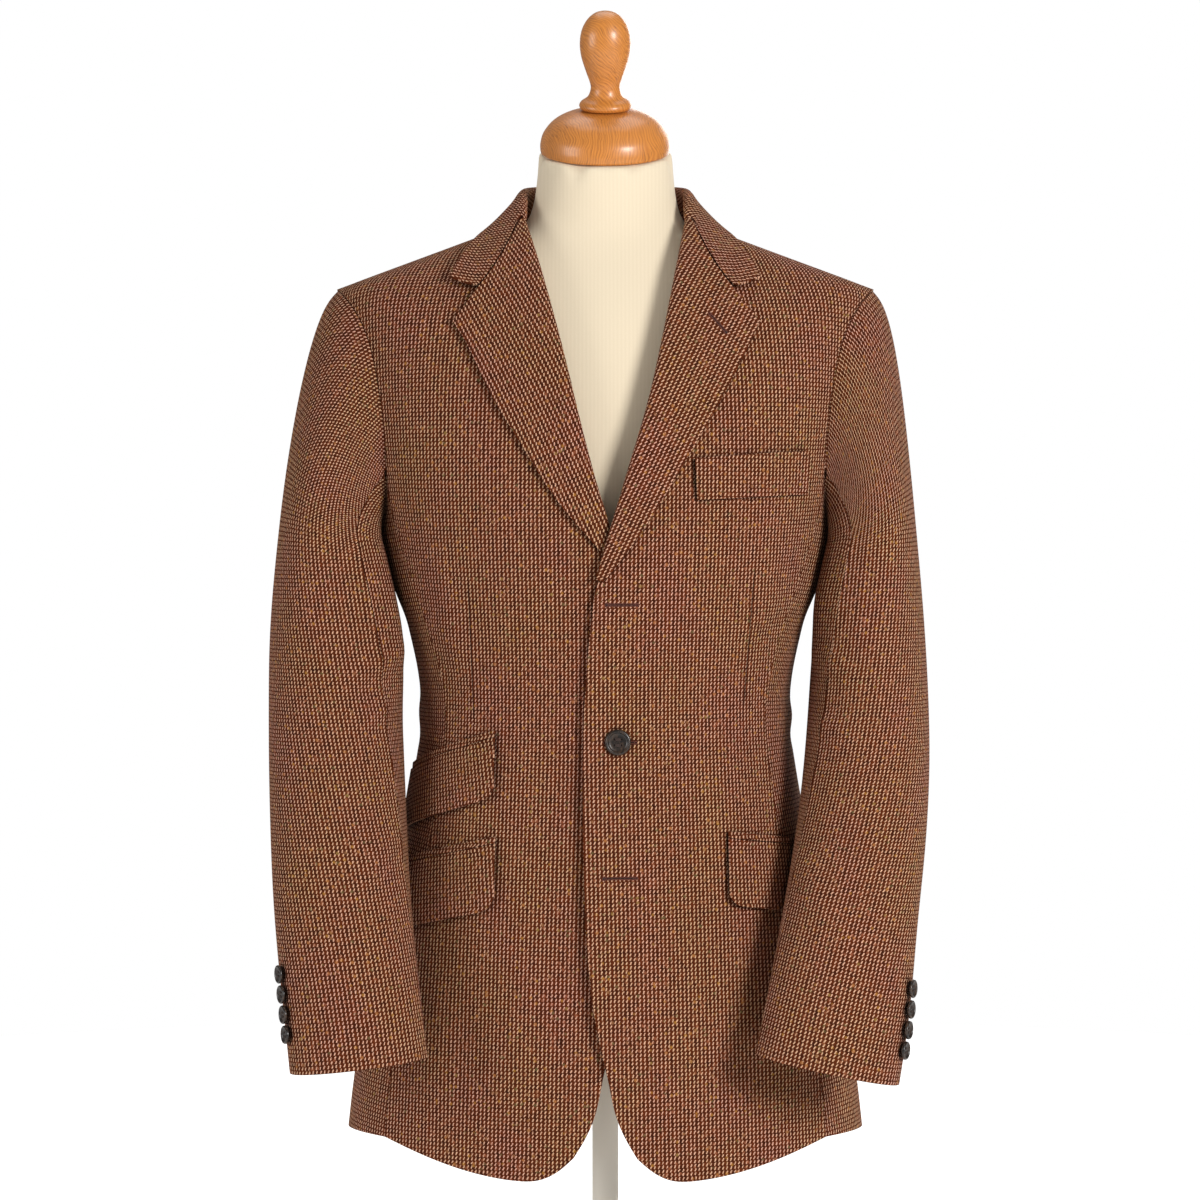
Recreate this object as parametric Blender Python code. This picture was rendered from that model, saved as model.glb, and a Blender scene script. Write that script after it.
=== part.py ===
"""Single-breasted tweed hunting jacket, worn by a limbless dress form on a pole stand.

Metres, +Z up.  The jacket faces -Y, so its wearer's left is +X.  The origin is on the
floor, under the middle of the round base.
"""
import math

import bmesh
import bpy
import numpy as np
from mathutils import Matrix, Vector

# Cloth and seams
WALL = 0.0022
SEAM_GAP = 0.0004
# Mean radius round each kind of seam, turning the gap into an angle
SHOULDER_SEAM_RADIUS = 0.07
SIDE_SEAM_RADIUS = 0.17
BACK_SEAM_RADIUS = 0.12
SLEEVE_SEAM_RADIUS = 0.05
SEAM_SIDE = {"left": 1.0, "right": -1.0}

# Jacket heights above the floor
HEM_SIDE_Z = 0.171
HEM_FRONT_Z = 0.141
HEM_BACK_Z = 0.158
BREAK_Z = {"left": 0.624, "right": 0.654}
SHOULDER_Z = 0.875
SHOULDER_X = 0.2265
NECK_Z = 0.931
NECK_X = 0.075

# Rings of the jacket body: outer face of the cloth at each height
# Columns: height, half width, front depth, back depth, squareness
BODY_RINGS = (
    (0.120, 0.2210, 0.1310, 0.1240, 2.15),
    (0.170, 0.2180, 0.1305, 0.1220, 2.15),
    (0.250, 0.2075, 0.1295, 0.1180, 2.15),
    (0.350, 0.1885, 0.1275, 0.1110, 2.15),
    (0.440, 0.1670, 0.1225, 0.1020, 2.20),
    (0.528, 0.1555, 0.1190, 0.0970, 2.20),
    (0.603, 0.1700, 0.1230, 0.1050, 2.25),
    (0.700, 0.1915, 0.1290, 0.1160, 2.30),
    (0.780, 0.2070, 0.1240, 0.1180, 2.30),
    (0.830, 0.2175, 0.1110, 0.1140, 2.25),
    (0.875, 0.2265, 0.0900, 0.1030, 2.20),
    (0.903, 0.1508, 0.0730, 0.0860, 2.15),
    (0.931, 0.0750, 0.0580, 0.0700, 2.10),
)

# Armhole, an oval in the side view laid on the body
ARMHOLE_Z = 0.775
ARMHOLE_HALF_HEIGHT = 0.100
ARMHOLE_HALF_DEPTH = 0.064
ARMHOLE_ROUNDNESS = 0.80
ARMHOLE_FRONT_END = math.radians(128)
ARMHOLE_BACK_END = math.radians(236)

# Side panel seams, as angles round the body from the centre front
SIDE_SEAM_FRONT = math.radians(55)
SIDE_SEAM_BACK = math.radians(113)
SIDE_SEAM_BEND_Z = 0.52

# Front edge below the lapel: distance past the centre, by height
# Columns: height, past centre
FRONT_EDGE = (
    (0.225, -0.0030),
    (0.270, 0.0080),
    (0.360, 0.0165),
    (0.480, 0.0185),
    (0.560, 0.0150),
    (0.640, 0.0072),
)
CUTAWAY_TOP_Z = 0.225
CUTAWAY_RUN = 0.062
CUTAWAY_CORNER = math.radians(48)
CUTAWAY_SHARE = 0.34
LAP_LIFT = 0.0062
LAP_FULL_X = 0.022
LAP_FADE_X = 0.085

# Rows of the body panels and where along them each edge changes kind
SEAM_ROWS = 17
ARMHOLE_ROWS = 9
PANEL_ROWS = SEAM_ROWS + ARMHOLE_ROWS
CUTAWAY_ROWS_SHARE = 3 / PANEL_ROWS
FRONT_EDGE_SHARE = 14 / PANEL_ROWS
NECKLINE_SHARE = 23 / PANEL_ROWS
BACK_NECK_SHARE = 22 / PANEL_ROWS
ARMHOLE_SHARE = SEAM_ROWS / PANEL_ROWS
BREAK_ROW = 0.007

# Lapels: roll line and outer edge seen from the front, distance from the centre by height
# Columns: height, from centre
ROLL_LINE = {
    "left": (
        (0.624, -0.0095),
        (0.642, -0.0048),
        (0.688, 0.0090),
        (0.722, 0.0190),
        (0.776, 0.0350),
        (0.858, 0.0530),
        (0.926, 0.0660),
    ),
    "right": (
        (0.654, -0.0105),
        (0.699, 0.0050),
        (0.757, 0.0205),
        (0.815, 0.0345),
        (0.890, 0.0550),
        (0.926, 0.0660),
    ),
}
LAPEL_EDGE = {
    "left": (
        (0.631, -0.0015),
        (0.648, 0.0125),
        (0.673, 0.0300),
        (0.690, 0.0410),
        (0.740, 0.0710),
        (0.790, 0.1000),
        (0.842, 0.1255),
    ),
    "right": (
        (0.649, -0.0010),
        (0.699, 0.0413),
        (0.739, 0.0664),
        (0.788, 0.0958),
        (0.823, 0.1119),
        (0.842, 0.1240),
    ),
}
GORGE_TOP = (0.0660, 0.9260)
GORGE_MID = (0.0810, 0.8930)
NOTCH = (0.1030, 0.8690)
ROLL_RADIUS_TOP = 0.0036
ROLL_RADIUS_BREAK = 0.0015
ROLL_RISE = 0.11
BREAK_EASE = 0.06
LAPEL_EDGE_LIFT = 0.0036
LAPEL_START = 0.008
ROLL_GAP = 0.0012
GORGE_ACROSS = (0.60, 0.80)
GORGE_GAP = 0.0006
LAPEL_NOTCH_SHARE = 0.69
COLLAR_NOTCH_SHARE = 0.74
GORGE_STEPS = 6
FALL_COUNT = 9
ROLL_SWINGS = (-90.0, -45.0, 0.0, 45.0, 90.0)

# Collar stations from the gorge to the centre back: fold and outer edge
# Columns: along, fold x, fold y, fold z, edge angle, edge z, neck angle
COLLAR = (
    (0.00, 0.0665, -0.0470, 0.9320, 33.8, 0.8770, 60.0),
    (0.22, 0.0685, -0.0210, 0.9500, 52.0, 0.9080, 76.0),
    (0.45, 0.0690, 0.0080, 0.9610, 92.0, 0.9280, 98.0),
    (0.70, 0.0560, 0.0510, 0.9670, 136.0, 0.9190, 132.0),
    (0.86, 0.0320, 0.0690, 0.9695, 158.0, 0.9160, 156.0),
    (1.00, 0.0000, 0.0740, 0.9700, 180.0, 0.9160, 180.0),
)
COLLAR_CORNER = (0.1265, 0.8770)
COLLAR_EDGE_LIFT = 0.0044
COLLAR_ROLL = 0.0042

# Sleeve rings from the arm's pit to the cuff
# Columns: height, outer, inner, centre y, half depth
SLEEVE_RINGS = {
    "left": (
        (0.238, 0.2370, 0.1195, -0.1460, 0.0350),
        (0.290, 0.2465, 0.1310, -0.1330, 0.0400),
        (0.360, 0.2545, 0.1445, -0.1130, 0.0450),
        (0.440, 0.2665, 0.1590, -0.0750, 0.0550),
        (0.510, 0.2705, 0.1675, -0.0430, 0.0630),
        (0.580, 0.2690, 0.1735, -0.0190, 0.0700),
        (0.660, 0.2630, 0.1890, -0.0050, 0.0770),
    ),
    "right": (
        (0.240, 0.2555, 0.1430, -0.1380, 0.0350),
        (0.295, 0.2625, 0.1500, -0.1240, 0.0400),
        (0.360, 0.2710, 0.1575, -0.1050, 0.0450),
        (0.440, 0.2775, 0.1635, -0.0720, 0.0550),
        (0.510, 0.2810, 0.1680, -0.0430, 0.0630),
        (0.580, 0.2825, 0.1725, -0.0190, 0.0700),
        (0.660, 0.2765, 0.1890, -0.0050, 0.0770),
    ),
}
CUFF_SLANT = {"left": 0.215, "right": 0.120}
CUFF_SLANT_HEIGHT = 0.30
SLEEVE_SQUARENESS = 2.25
HEAD_SHARE = 0.36
HEAD_FALL = 0.35
UNDERARM_FALL = 2.8
UNDERARM_GAP = 0.0050
SLEEVE_HEAD_START = 0.10
SLEEVE_HEAD_END = 0.45
HIND_SEAM = (math.radians(-70), math.radians(-6))
FORE_SEAM = (math.radians(125), math.radians(168))

# Pocket pieces on the fronts: top front corner, slope towards the side, length and drop
# Columns: side, front x, top z, slope, length, drop
POCKETS = {
    "ticket": ("right", 0.0890, 0.5085, 0.300, 0.105, 0.0550),
    "right": ("right", 0.0890, 0.4220, 0.230, 0.140, 0.0590),
    "left": ("left", 0.0990, 0.4260, 0.130, 0.140, 0.0600),
}
STRIP_SPANS = (0.0, 0.012, 0.045, 0.1, 0.28, 0.46, 0.64, 0.82, 1.0)
JET_HEIGHT = 0.0055
JET_LIFT = 0.0024
JET_WALL = 0.00176
FLAP_LIFT = 0.0032
FLAP_CORNER = 0.009
WELT_FRONT_X = 0.0715
WELT_BACK_X = 0.1640
WELT_TOP_Z = (0.7300, 0.7375)
WELT_LOW_Z = (0.6960, 0.7015)
WELT_SLANT = 0.002
WELT_LIFT = 0.0030

# Buttons
FRONT_BUTTON_RADIUS = 0.0106
FRONT_BUTTON_X = 0.0098
FRONT_BUTTON_Z = 0.4995
CUFF_BUTTON_RADIUS = 0.0075
CUFF_BUTTON_Z = {"left": (0.3120, 0.2965, 0.2810, 0.2655), "right": (0.3180, 0.3025, 0.2870, 0.2715)}
CUFF_BUTTON_ANGLE = math.radians(23)
BUTTON_THICKNESS_SHARE = 0.34
BUTTON_STANDOFF = 0.0010

# Dress form and stand
# Columns: height, half width, front depth, back depth, tilt share
FORM_RINGS = (
    (0.262, 0.1880, 0.1080, 0.0990, 0.0),
    (0.300, 0.1860, 0.1120, 0.1000, 0.0),
    (0.360, 0.1740, 0.1140, 0.0980, 0.0),
    (0.440, 0.1540, 0.1110, 0.0900, 0.0),
    (0.528, 0.1440, 0.1080, 0.0860, 0.0),
    (0.603, 0.1570, 0.1110, 0.0930, 0.0),
    (0.700, 0.1720, 0.1170, 0.1050, 0.0),
    (0.780, 0.1800, 0.1120, 0.1070, 0.0),
    (0.830, 0.1880, 0.0980, 0.1030, 0.0),
    (0.862, 0.1920, 0.0830, 0.0940, 0.0),
    (0.880, 0.1720, 0.0730, 0.0840, 0.0),
    (0.900, 0.1220, 0.0620, 0.0720, 0.0),
    (0.916, 0.0820, 0.0560, 0.0620, 0.1),
    (0.932, 0.0640, 0.0540, 0.0560, 0.3),
    (0.956, 0.0585, 0.0545, 0.0550, 0.7),
    (0.990, 0.0568, 0.0568, 0.0568, 1.0),
)
FORM_SQUARENESS = 2.1
FORM_BOTTOM_SHARE = 0.92
FORM_POINTS = 28
CAP_TILT = math.radians(18)
CAP_GAP = 0.0004
# Columns: radius, height above the piece's seat
CAP_PROFILE = (
    (0.0, 0.0),
    (0.0535, 0.0),
    (0.0547, 0.0020),
    (0.0547, 0.0085),
    (0.0520, 0.0170),
    (0.0440, 0.0265),
    (0.0320, 0.0330),
    (0.0180, 0.0362),
    (0.0, 0.0370),
)
KNOB_PROFILE = (
    (0.0, 0.0),
    (0.0205, 0.0),
    (0.0220, 0.0026),
    (0.0205, 0.0060),
    (0.0150, 0.0100),
    (0.0125, 0.0160),
    (0.0128, 0.0215),
    (0.0165, 0.0320),
    (0.0202, 0.0440),
    (0.0214, 0.0550),
    (0.0198, 0.0660),
    (0.0150, 0.0750),
    (0.0080, 0.0806),
    (0.0, 0.0823),
)
POLE_RADIUS = 0.011
BASE_RADIUS = 0.165
BASE_THICKNESS = 0.014
BASE_EDGE = 0.004


def rows_at(table, place):
    """Value of every column of a table at a place between its rows, by smooth monotone cubics."""
    data = np.array(table, dtype=float)
    knots = data[:, 0]
    step = np.diff(knots)
    slope = np.diff(data[:, 1:], axis=0) / step[:, None]
    tangent = np.zeros((len(knots), data.shape[1] - 1))
    tangent[0] = slope[0]
    tangent[-1] = slope[-1]
    same = slope[:-1] * slope[1:] > 0
    mean = 2 * slope[:-1] * slope[1:] / np.where(same, slope[:-1] + slope[1:], 1.0)
    tangent[1:-1] = np.where(same, mean, 0.0)
    place = min(max(place, knots[0]), knots[-1])
    i = min(int(np.searchsorted(knots, place, side="right")) - 1, len(knots) - 2)
    t = (place - knots[i]) / step[i]
    start = data[i, 1:]
    end = data[i + 1, 1:]
    return ((1 + 2 * t) * (1 - t) ** 2 * start + t * (1 - t) ** 2 * step[i] * tangent[i]
            + t * t * (3 - 2 * t) * end + t * t * (t - 1) * step[i] * tangent[i + 1])


def smooth_step(low, high, value):
    """0 below low, 1 above high, easing between."""
    t = min(max((value - low) / (high - low), 0.0), 1.0)
    return t * t * (3 - 2 * t)


def unit(vector):
    return vector / np.linalg.norm(vector)


def blend(start, end, share):
    return start + (end - start) * share


# The jacket body as a surface of angle and height

def body_ring(z):
    """Half width, front depth, back depth and squareness; the shoulder slope is straight."""
    ring = rows_at(BODY_RINGS, z)
    if z > SHOULDER_Z:
        ring[0] = blend(SHOULDER_X, NECK_X, (z - SHOULDER_Z) / (NECK_Z - SHOULDER_Z))
    return ring


def body_point(angle, z):
    half_width, front, back, power = body_ring(z)
    across = math.sin(angle)
    along = math.cos(angle)
    reach = (abs(across) ** power + abs(along) ** power) ** (-1 / power)
    depth = front if along > 0 else back
    return np.array((half_width * reach * across, -depth * reach * along, z))


def body_normal(angle, z):
    turn = 0.004
    rise = 0.0015
    around = body_point(angle + turn, z) - body_point(angle - turn, z)
    upward = body_point(angle, min(z + rise, NECK_Z)) - body_point(angle, z - rise)
    return unit(np.cross(around, upward))


def angle_at_x(x, z):
    """Angle on the front where the body is x from the centre."""
    half_width, _, _, power = body_ring(z)
    across = min(abs(x) / half_width, 0.9999)
    along = (1 - across ** power) ** (1 / power)
    return math.copysign(math.atan2(across, along), x)


def angle_at_y(y, z):
    """Angle on the +X side where the body is y from the middle."""
    _, front, back, power = body_ring(z)
    along = min(abs(y) / (front if y < 0 else back), 0.9999)
    across = (1 - along ** power) ** (1 / power)
    return math.atan2(across, -math.copysign(along, y))


def lap(x, side):
    """How far the overlapping front stands off the one below it, on the wearer's left only."""
    if side == "right":
        return 0.0
    return LAP_LIFT * (1 - smooth_step(LAP_FULL_X, LAP_FADE_X, x))


def front_point(x, z, side, lift=0.0):
    """Point on a front at x from the centre (positive towards its own side), moved out by lift."""
    angle = angle_at_x(x, z)
    point = body_point(angle, z) + body_normal(angle, z) * (lift + lap(x, side))
    return point


def armhole(turn):
    """Angle and height of the armhole: turn 0 at the shoulder, a quarter turn at the front."""
    across = math.sin(turn)
    y = -ARMHOLE_HALF_DEPTH * math.copysign(abs(across) ** ARMHOLE_ROUNDNESS, across)
    z = ARMHOLE_Z + ARMHOLE_HALF_HEIGHT * math.cos(turn)
    if abs(across) < 1e-6:
        return math.pi / 2, z
    return angle_at_y(y, z), z


def side_seam(z, which):
    """Angle of the seam before or behind the side panel, meeting the armhole at its top."""
    if which == "front":
        low = SIDE_SEAM_FRONT
        top, top_z = armhole(ARMHOLE_FRONT_END)
    else:
        low = SIDE_SEAM_BACK
        top, top_z = armhole(ARMHOLE_BACK_END)
    return blend(low, top, smooth_step(SIDE_SEAM_BEND_Z, top_z, z))


# Patches between four edges, each edge a function of its share, giving (angle, height)

def coons(left, right, bottom, top, shares_across, shares_up):
    grid = np.zeros((len(shares_up), len(shares_across), 2))
    corner_bl = np.array(bottom(0.0))
    corner_br = np.array(bottom(1.0))
    corner_tl = np.array(top(0.0))
    corner_tr = np.array(top(1.0))
    for j, v in enumerate(shares_up):
        for i, u in enumerate(shares_across):
            ruled_across = (1 - u) * np.array(left(v)) + u * np.array(right(v))
            ruled_up = (1 - v) * np.array(bottom(u)) + v * np.array(top(u))
            plain = ((1 - u) * (1 - v) * corner_bl + u * (1 - v) * corner_br
                     + (1 - u) * v * corner_tl + u * v * corner_tr)
            grid[j, i] = ruled_across + ruled_up - plain
    return grid


def shares(count, corner=None, corner_step=None):
    """Even shares from 0 to 1, with one step moved exactly on to a corner."""
    values = np.linspace(0, 1, count)
    if corner is not None:
        values = np.concatenate((np.linspace(0, corner, corner_step + 1),
                                 np.linspace(corner, 1, count - corner_step)[1:]))
    return values


# Making objects

def make_material(name, colour, roughness):
    material = bpy.data.materials.new(name)
    material.use_nodes = True
    shader = material.node_tree.nodes["Principled BSDF"]
    shader.inputs["Base Color"].default_value = (*colour, 1.0)
    shader.inputs["Roughness"].default_value = roughness
    shader.inputs["Metallic"].default_value = 0.0
    return material


def add_object(name, bm, material, smooth=True):
    bmesh.ops.recalc_face_normals(bm, faces=bm.faces[:])
    mesh = bpy.data.meshes.new(name)
    bm.to_mesh(mesh)
    bm.free()
    if smooth:
        mesh.shade_smooth()
        mesh.set_sharp_from_angle(angle=math.radians(35))
    mesh.materials.append(material)
    made = bpy.data.objects.new(name, mesh)
    bpy.context.scene.collection.objects.link(made)
    made.parent = STAND
    return made


def cloth_wall(name, outer, inner, material, side="left"):
    """Closed wall between two grids of points; the right side is mirrored."""
    rows, columns = outer.shape[:2]
    mirror = np.array((SEAM_SIDE[side], 1.0, 1.0))
    bm = bmesh.new()
    bmesh.ops.create_grid(bm, x_segments=columns - 1, y_segments=rows - 1, size=1.0)
    place = bm.verts.layers.int.new("place")
    for i, vert in enumerate(bm.verts):
        vert.co = outer[i // columns, i % columns] * mirror
        vert[place] = i
    made = bmesh.ops.extrude_face_region(bm, geom=bm.faces[:])
    for item in made["geom"]:
        if isinstance(item, bmesh.types.BMVert):
            i = item[place]
            item.co = inner[i // columns, i % columns] * mirror
    return add_object(name, bm, material)


def panel_wall(name, grid, material, side, lift_side=None):
    """Wall on the body surface through a grid of (angle, height)."""
    outer = np.zeros((*grid.shape[:2], 3))
    inner = outer.copy()
    for j, row in enumerate(grid):
        for i, (angle, z) in enumerate(row):
            normal = body_normal(angle, z)
            outer[j, i] = body_point(angle, z)
            if lift_side:
                outer[j, i] += normal * lap(outer[j, i, 0], lift_side)
            inner[j, i] = outer[j, i] - normal * WALL
    return cloth_wall(name, outer, inner, material, side)


def sheet_wall(name, middle, material, side="left", thickness=WALL):
    """Wall of even thickness on both sides of a grid of points."""
    along = np.gradient(middle, axis=0)
    across = np.gradient(middle, axis=1)
    normal = np.cross(across, along)
    normal /= np.linalg.norm(normal, axis=2, keepdims=True)
    half = normal * thickness / 2
    return cloth_wall(name, middle + half, middle - half, material, side)


def turned(name, profile, material, segments, place):
    """Closed turned solid from a profile of (radius, height)."""
    bm = bmesh.new()
    verts = [bm.verts.new((radius, 0.0, height)) for radius, height in profile]
    edges = [bm.edges.new(pair) for pair in zip(verts, verts[1:])]
    bmesh.ops.spin(bm, geom=verts + edges, cent=(0, 0, 0), axis=(0, 0, 1), angle=2 * math.pi,
                   steps=segments, use_merge=True)
    bmesh.ops.remove_doubles(bm, verts=bm.verts[:], dist=1e-6)
    bmesh.ops.transform(bm, verts=bm.verts[:], matrix=place)
    return add_object(name, bm, material)


# Body panels

def edge_x(z):
    return -rows_at(FRONT_EDGE, z)[0]


def roll_x(z, side):
    """The panel's own edge under the roll of the lapel."""
    return rows_at(ROLL_LINE[side], z)[0] + roll_radius(z, side) + WALL / 2


def roll_radius(z, side):
    risen = smooth_step(BREAK_Z[side], BREAK_Z[side] + ROLL_RISE, z)
    return blend(ROLL_RADIUS_BREAK, ROLL_RADIUS_TOP, risen)


def hem_z(angle):
    """Hem height round the body; lowest in front, where the cutaway begins."""
    if angle < SIDE_SEAM_FRONT:
        return blend(HEM_FRONT_Z, HEM_SIDE_Z, smooth_step(math.radians(16), math.radians(66), angle))
    return blend(HEM_SIDE_Z, HEM_BACK_Z, smooth_step(math.radians(66), math.radians(150), angle))


def front_left_edge(v, side):
    """Front edge, then the roll line, then the neck, from the cutaway up to the shoulder seam."""
    top_z = GORGE_TOP[1] - 0.003
    if v <= CUTAWAY_ROWS_SHARE:
        return cutaway(blend(CUTAWAY_CORNER, 0.0, v / CUTAWAY_ROWS_SHARE))
    if v <= FRONT_EDGE_SHARE + 1e-9:
        climbed = (v - CUTAWAY_ROWS_SHARE) / (FRONT_EDGE_SHARE - CUTAWAY_ROWS_SHARE)
        z = blend(CUTAWAY_TOP_Z, BREAK_Z[side], climbed)
        x = edge_x(z)
        if side == "right":
            near = smooth_step(BREAK_Z[side] - BREAK_EASE, BREAK_Z[side], z)
            x = blend(x, roll_x(BREAK_Z[side], side), near)
        return angle_at_x(x, z), z
    start_z = BREAK_Z[side] + BREAK_ROW
    first_share = FRONT_EDGE_SHARE + 1 / PANEL_ROWS
    if v <= first_share + 1e-9:
        return angle_at_x(roll_x(start_z, side), start_z), start_z
    if v <= NECKLINE_SHARE + 1e-9:
        z = blend(start_z, top_z, (v - first_share) / (NECKLINE_SHARE - first_share))
        return angle_at_x(roll_x(z, side), z), z
    t = (v - NECKLINE_SHARE) / (1 - NECKLINE_SHARE)
    start = angle_at_x(roll_x(top_z, side), top_z)
    return blend(start, shoulder_angle(-1), t), blend(top_z, NECK_Z, t)


def shoulder_angle(before):
    """Just before or behind the shoulder seam."""
    return math.pi / 2 + before * SEAM_GAP / 2 / SHOULDER_SEAM_RADIUS


def front_right_edge(v):
    """Side seam, then the armhole up to the shoulder point."""
    seam_turn = SEAM_GAP / 2 / SIDE_SEAM_RADIUS
    top_angle, top_z = armhole(ARMHOLE_FRONT_END)
    if v <= ARMHOLE_SHARE:
        z = blend(hem_z(SIDE_SEAM_FRONT), top_z, v / ARMHOLE_SHARE)
        return side_seam(z, "front") - seam_turn, z
    turn = blend(ARMHOLE_FRONT_END, 0.0, (v - ARMHOLE_SHARE) / (1 - ARMHOLE_SHARE))
    angle, z = armhole(turn)
    return min(angle - seam_turn, shoulder_angle(-1)), z


def cutaway(turn):
    """Curved front corner of the hem: turn 0 at the front edge, a right angle at the hem."""
    start_x = edge_x(CUTAWAY_TOP_Z)
    low = hem_z(angle_at_x(start_x + CUTAWAY_RUN, HEM_FRONT_Z))
    x = start_x + CUTAWAY_RUN * (1 - math.cos(turn)) ** 0.9
    z = CUTAWAY_TOP_Z + (low - CUTAWAY_TOP_Z) * math.sin(turn)
    return angle_at_x(x, z), z


def front_hem(u):
    """From part way round the cutaway, along the hem to the side seam."""
    if u <= CUTAWAY_SHARE:
        return cutaway(blend(CUTAWAY_CORNER, math.pi / 2, u / CUTAWAY_SHARE))
    start = cutaway(math.pi / 2)[0]
    angle = blend(start, front_right_edge(0.0)[0], (u - CUTAWAY_SHARE) / (1 - CUTAWAY_SHARE))
    return angle, hem_z(angle)


def make_front(side):
    def top(u):
        return shoulder_angle(-1), blend(NECK_Z, SHOULDER_Z, u)
    grid = coons(lambda v: front_left_edge(v, side), front_right_edge, front_hem, top,
                 shares(12), shares(PANEL_ROWS + 1))
    return panel_wall("front_" + side, grid, TWEED["front_" + side], side, side)


def make_side(side):
    turn_gap = SEAM_GAP / 2 / SIDE_SEAM_RADIUS
    front_top = armhole(ARMHOLE_FRONT_END)
    back_top = armhole(ARMHOLE_BACK_END)

    def left(v):
        z = blend(hem_z(SIDE_SEAM_FRONT), front_top[1], v)
        return side_seam(z, "front") + turn_gap, z

    def right(v):
        z = blend(hem_z(SIDE_SEAM_BACK), back_top[1], v)
        return side_seam(z, "back") - turn_gap, z

    def bottom(u):
        angle = blend(left(0.0)[0], right(0.0)[0], u)
        return angle, hem_z(angle)

    def top(u):
        angle, z = armhole(blend(ARMHOLE_FRONT_END, ARMHOLE_BACK_END, u))
        inset = turn_gap * (1 - 2 * u)
        return angle + inset, z
    grid = coons(left, right, bottom, top, shares(7), shares(SEAM_ROWS + 1))
    return panel_wall("side_" + side, grid, TWEED["side_" + side], side)


def make_back(side):
    turn_gap = SEAM_GAP / 2 / BACK_SEAM_RADIUS
    back_top = armhole(ARMHOLE_BACK_END)
    centre = math.pi - turn_gap

    def left(v):
        if v <= ARMHOLE_SHARE:
            z = blend(hem_z(SIDE_SEAM_BACK), back_top[1], v / ARMHOLE_SHARE)
            return side_seam(z, "back") + turn_gap, z
        turn = blend(ARMHOLE_BACK_END, 2 * math.pi, (v - ARMHOLE_SHARE) / (1 - ARMHOLE_SHARE))
        angle, z = armhole(turn)
        return max(angle + turn_gap, shoulder_angle(1)), z

    def right(v):
        if v <= BACK_NECK_SHARE:
            return centre, blend(hem_z(centre), NECK_Z, v / BACK_NECK_SHARE)
        past = (v - BACK_NECK_SHARE) / (1 - BACK_NECK_SHARE)
        return blend(centre, shoulder_angle(1), past), NECK_Z

    def bottom(u):
        angle = blend(left(0.0)[0], centre, u)
        return angle, hem_z(angle)

    def top(u):
        return shoulder_angle(1), blend(SHOULDER_Z, NECK_Z, u)
    grid = coons(left, right, bottom, top, shares(10), shares(PANEL_ROWS + 1))
    return panel_wall("back_" + side, grid, TWEED["back_" + side], side)


# Lapels and collar

def gorge(t, notch_share, end):
    """From the front: the gorge seam from roll to notch, then the piece's own short edge."""
    if t <= notch_share:
        s = t / notch_share
        top, mid, low = np.array(GORGE_TOP), np.array(GORGE_MID), np.array(NOTCH)
        return (1 - s) ** 2 * top + 2 * s * (1 - s) * mid + s * s * low
    return blend(np.array(NOTCH), np.array(end), (t - notch_share) / (1 - notch_share))


def roll_edge(z, side):
    """Where a turned-back piece begins, just off the panel's edge."""
    return np.array((roll_x(z, side) - ROLL_GAP, z))


def roll_across(z, side):
    """Direction square to the roll line, away from the opening, seen from the front."""
    step = 0.004
    lean = (roll_x(z, side) - roll_x(z - step, side)) / step
    return unit(np.array((1.0, -lean)))


def roll_lift(t, radius):
    """Height of a turned-back piece's middle above the panel, from its roll to its edge."""
    top = 2 * radius - WALL / 2
    return blend(top, min(LAPEL_EDGE_LIFT, top), smooth_step(0.0, 0.9, t))


def turned_back(flat, flat_shares, side):
    """Points of one section: round the roll, then over the panel through flat's (x, z) places."""
    radius = roll_radius(flat[0][1], side)
    outward = roll_across(flat[0][1], side)
    section = []
    for swing in ROLL_SWINGS:
        turn = math.radians(swing)
        x, z = flat[0] - outward * radius * math.cos(turn)
        section.append(front_point(x, z, side, radius * (1 + math.sin(turn)) - WALL / 2))
    for (x, z), t in zip(flat[1:], flat_shares[1:]):
        section.append(front_point(x, z, side, roll_lift(t, radius)))
    return section


def gorge_places(flat_shares, notch_share, end, side):
    """(x, z) of the gorge seam and the short edge past the notch, starting at the roll."""
    shift = roll_edge(GORGE_TOP[1], side) - np.array(GORGE_TOP)
    return np.array([gorge(t, notch_share, end) + shift * (1 - t) for t in flat_shares])


def make_lapel(side):
    edge_rows = LAPEL_EDGE[side]
    tip = np.array((edge_rows[-1][1], edge_rows[-1][0]))
    flat_shares = shares(FALL_COUNT, LAPEL_NOTCH_SHARE, GORGE_STEPS)
    drop = np.array(GORGE_ACROSS) * GORGE_GAP

    def roll(v):
        return roll_edge(blend(BREAK_Z[side] + LAPEL_START, GORGE_TOP[1], v), side) - drop * v

    def edge(v):
        z = blend(edge_rows[0][0], tip[1], v)
        return np.array((rows_at(edge_rows, z)[0], z)) - drop * v

    def bottom(u):
        return blend(roll(0.0), edge(0.0), u)

    def top(u):
        return gorge_places([u], LAPEL_NOTCH_SHARE, tip, side)[0] - drop
    flat = coons(roll, edge, bottom, top, flat_shares, shares(15))
    middle = np.array([turned_back(row, flat_shares, side) for row in flat])
    return sheet_wall("lapel_" + side, middle, TWEED["lapel_" + side], side)


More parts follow.
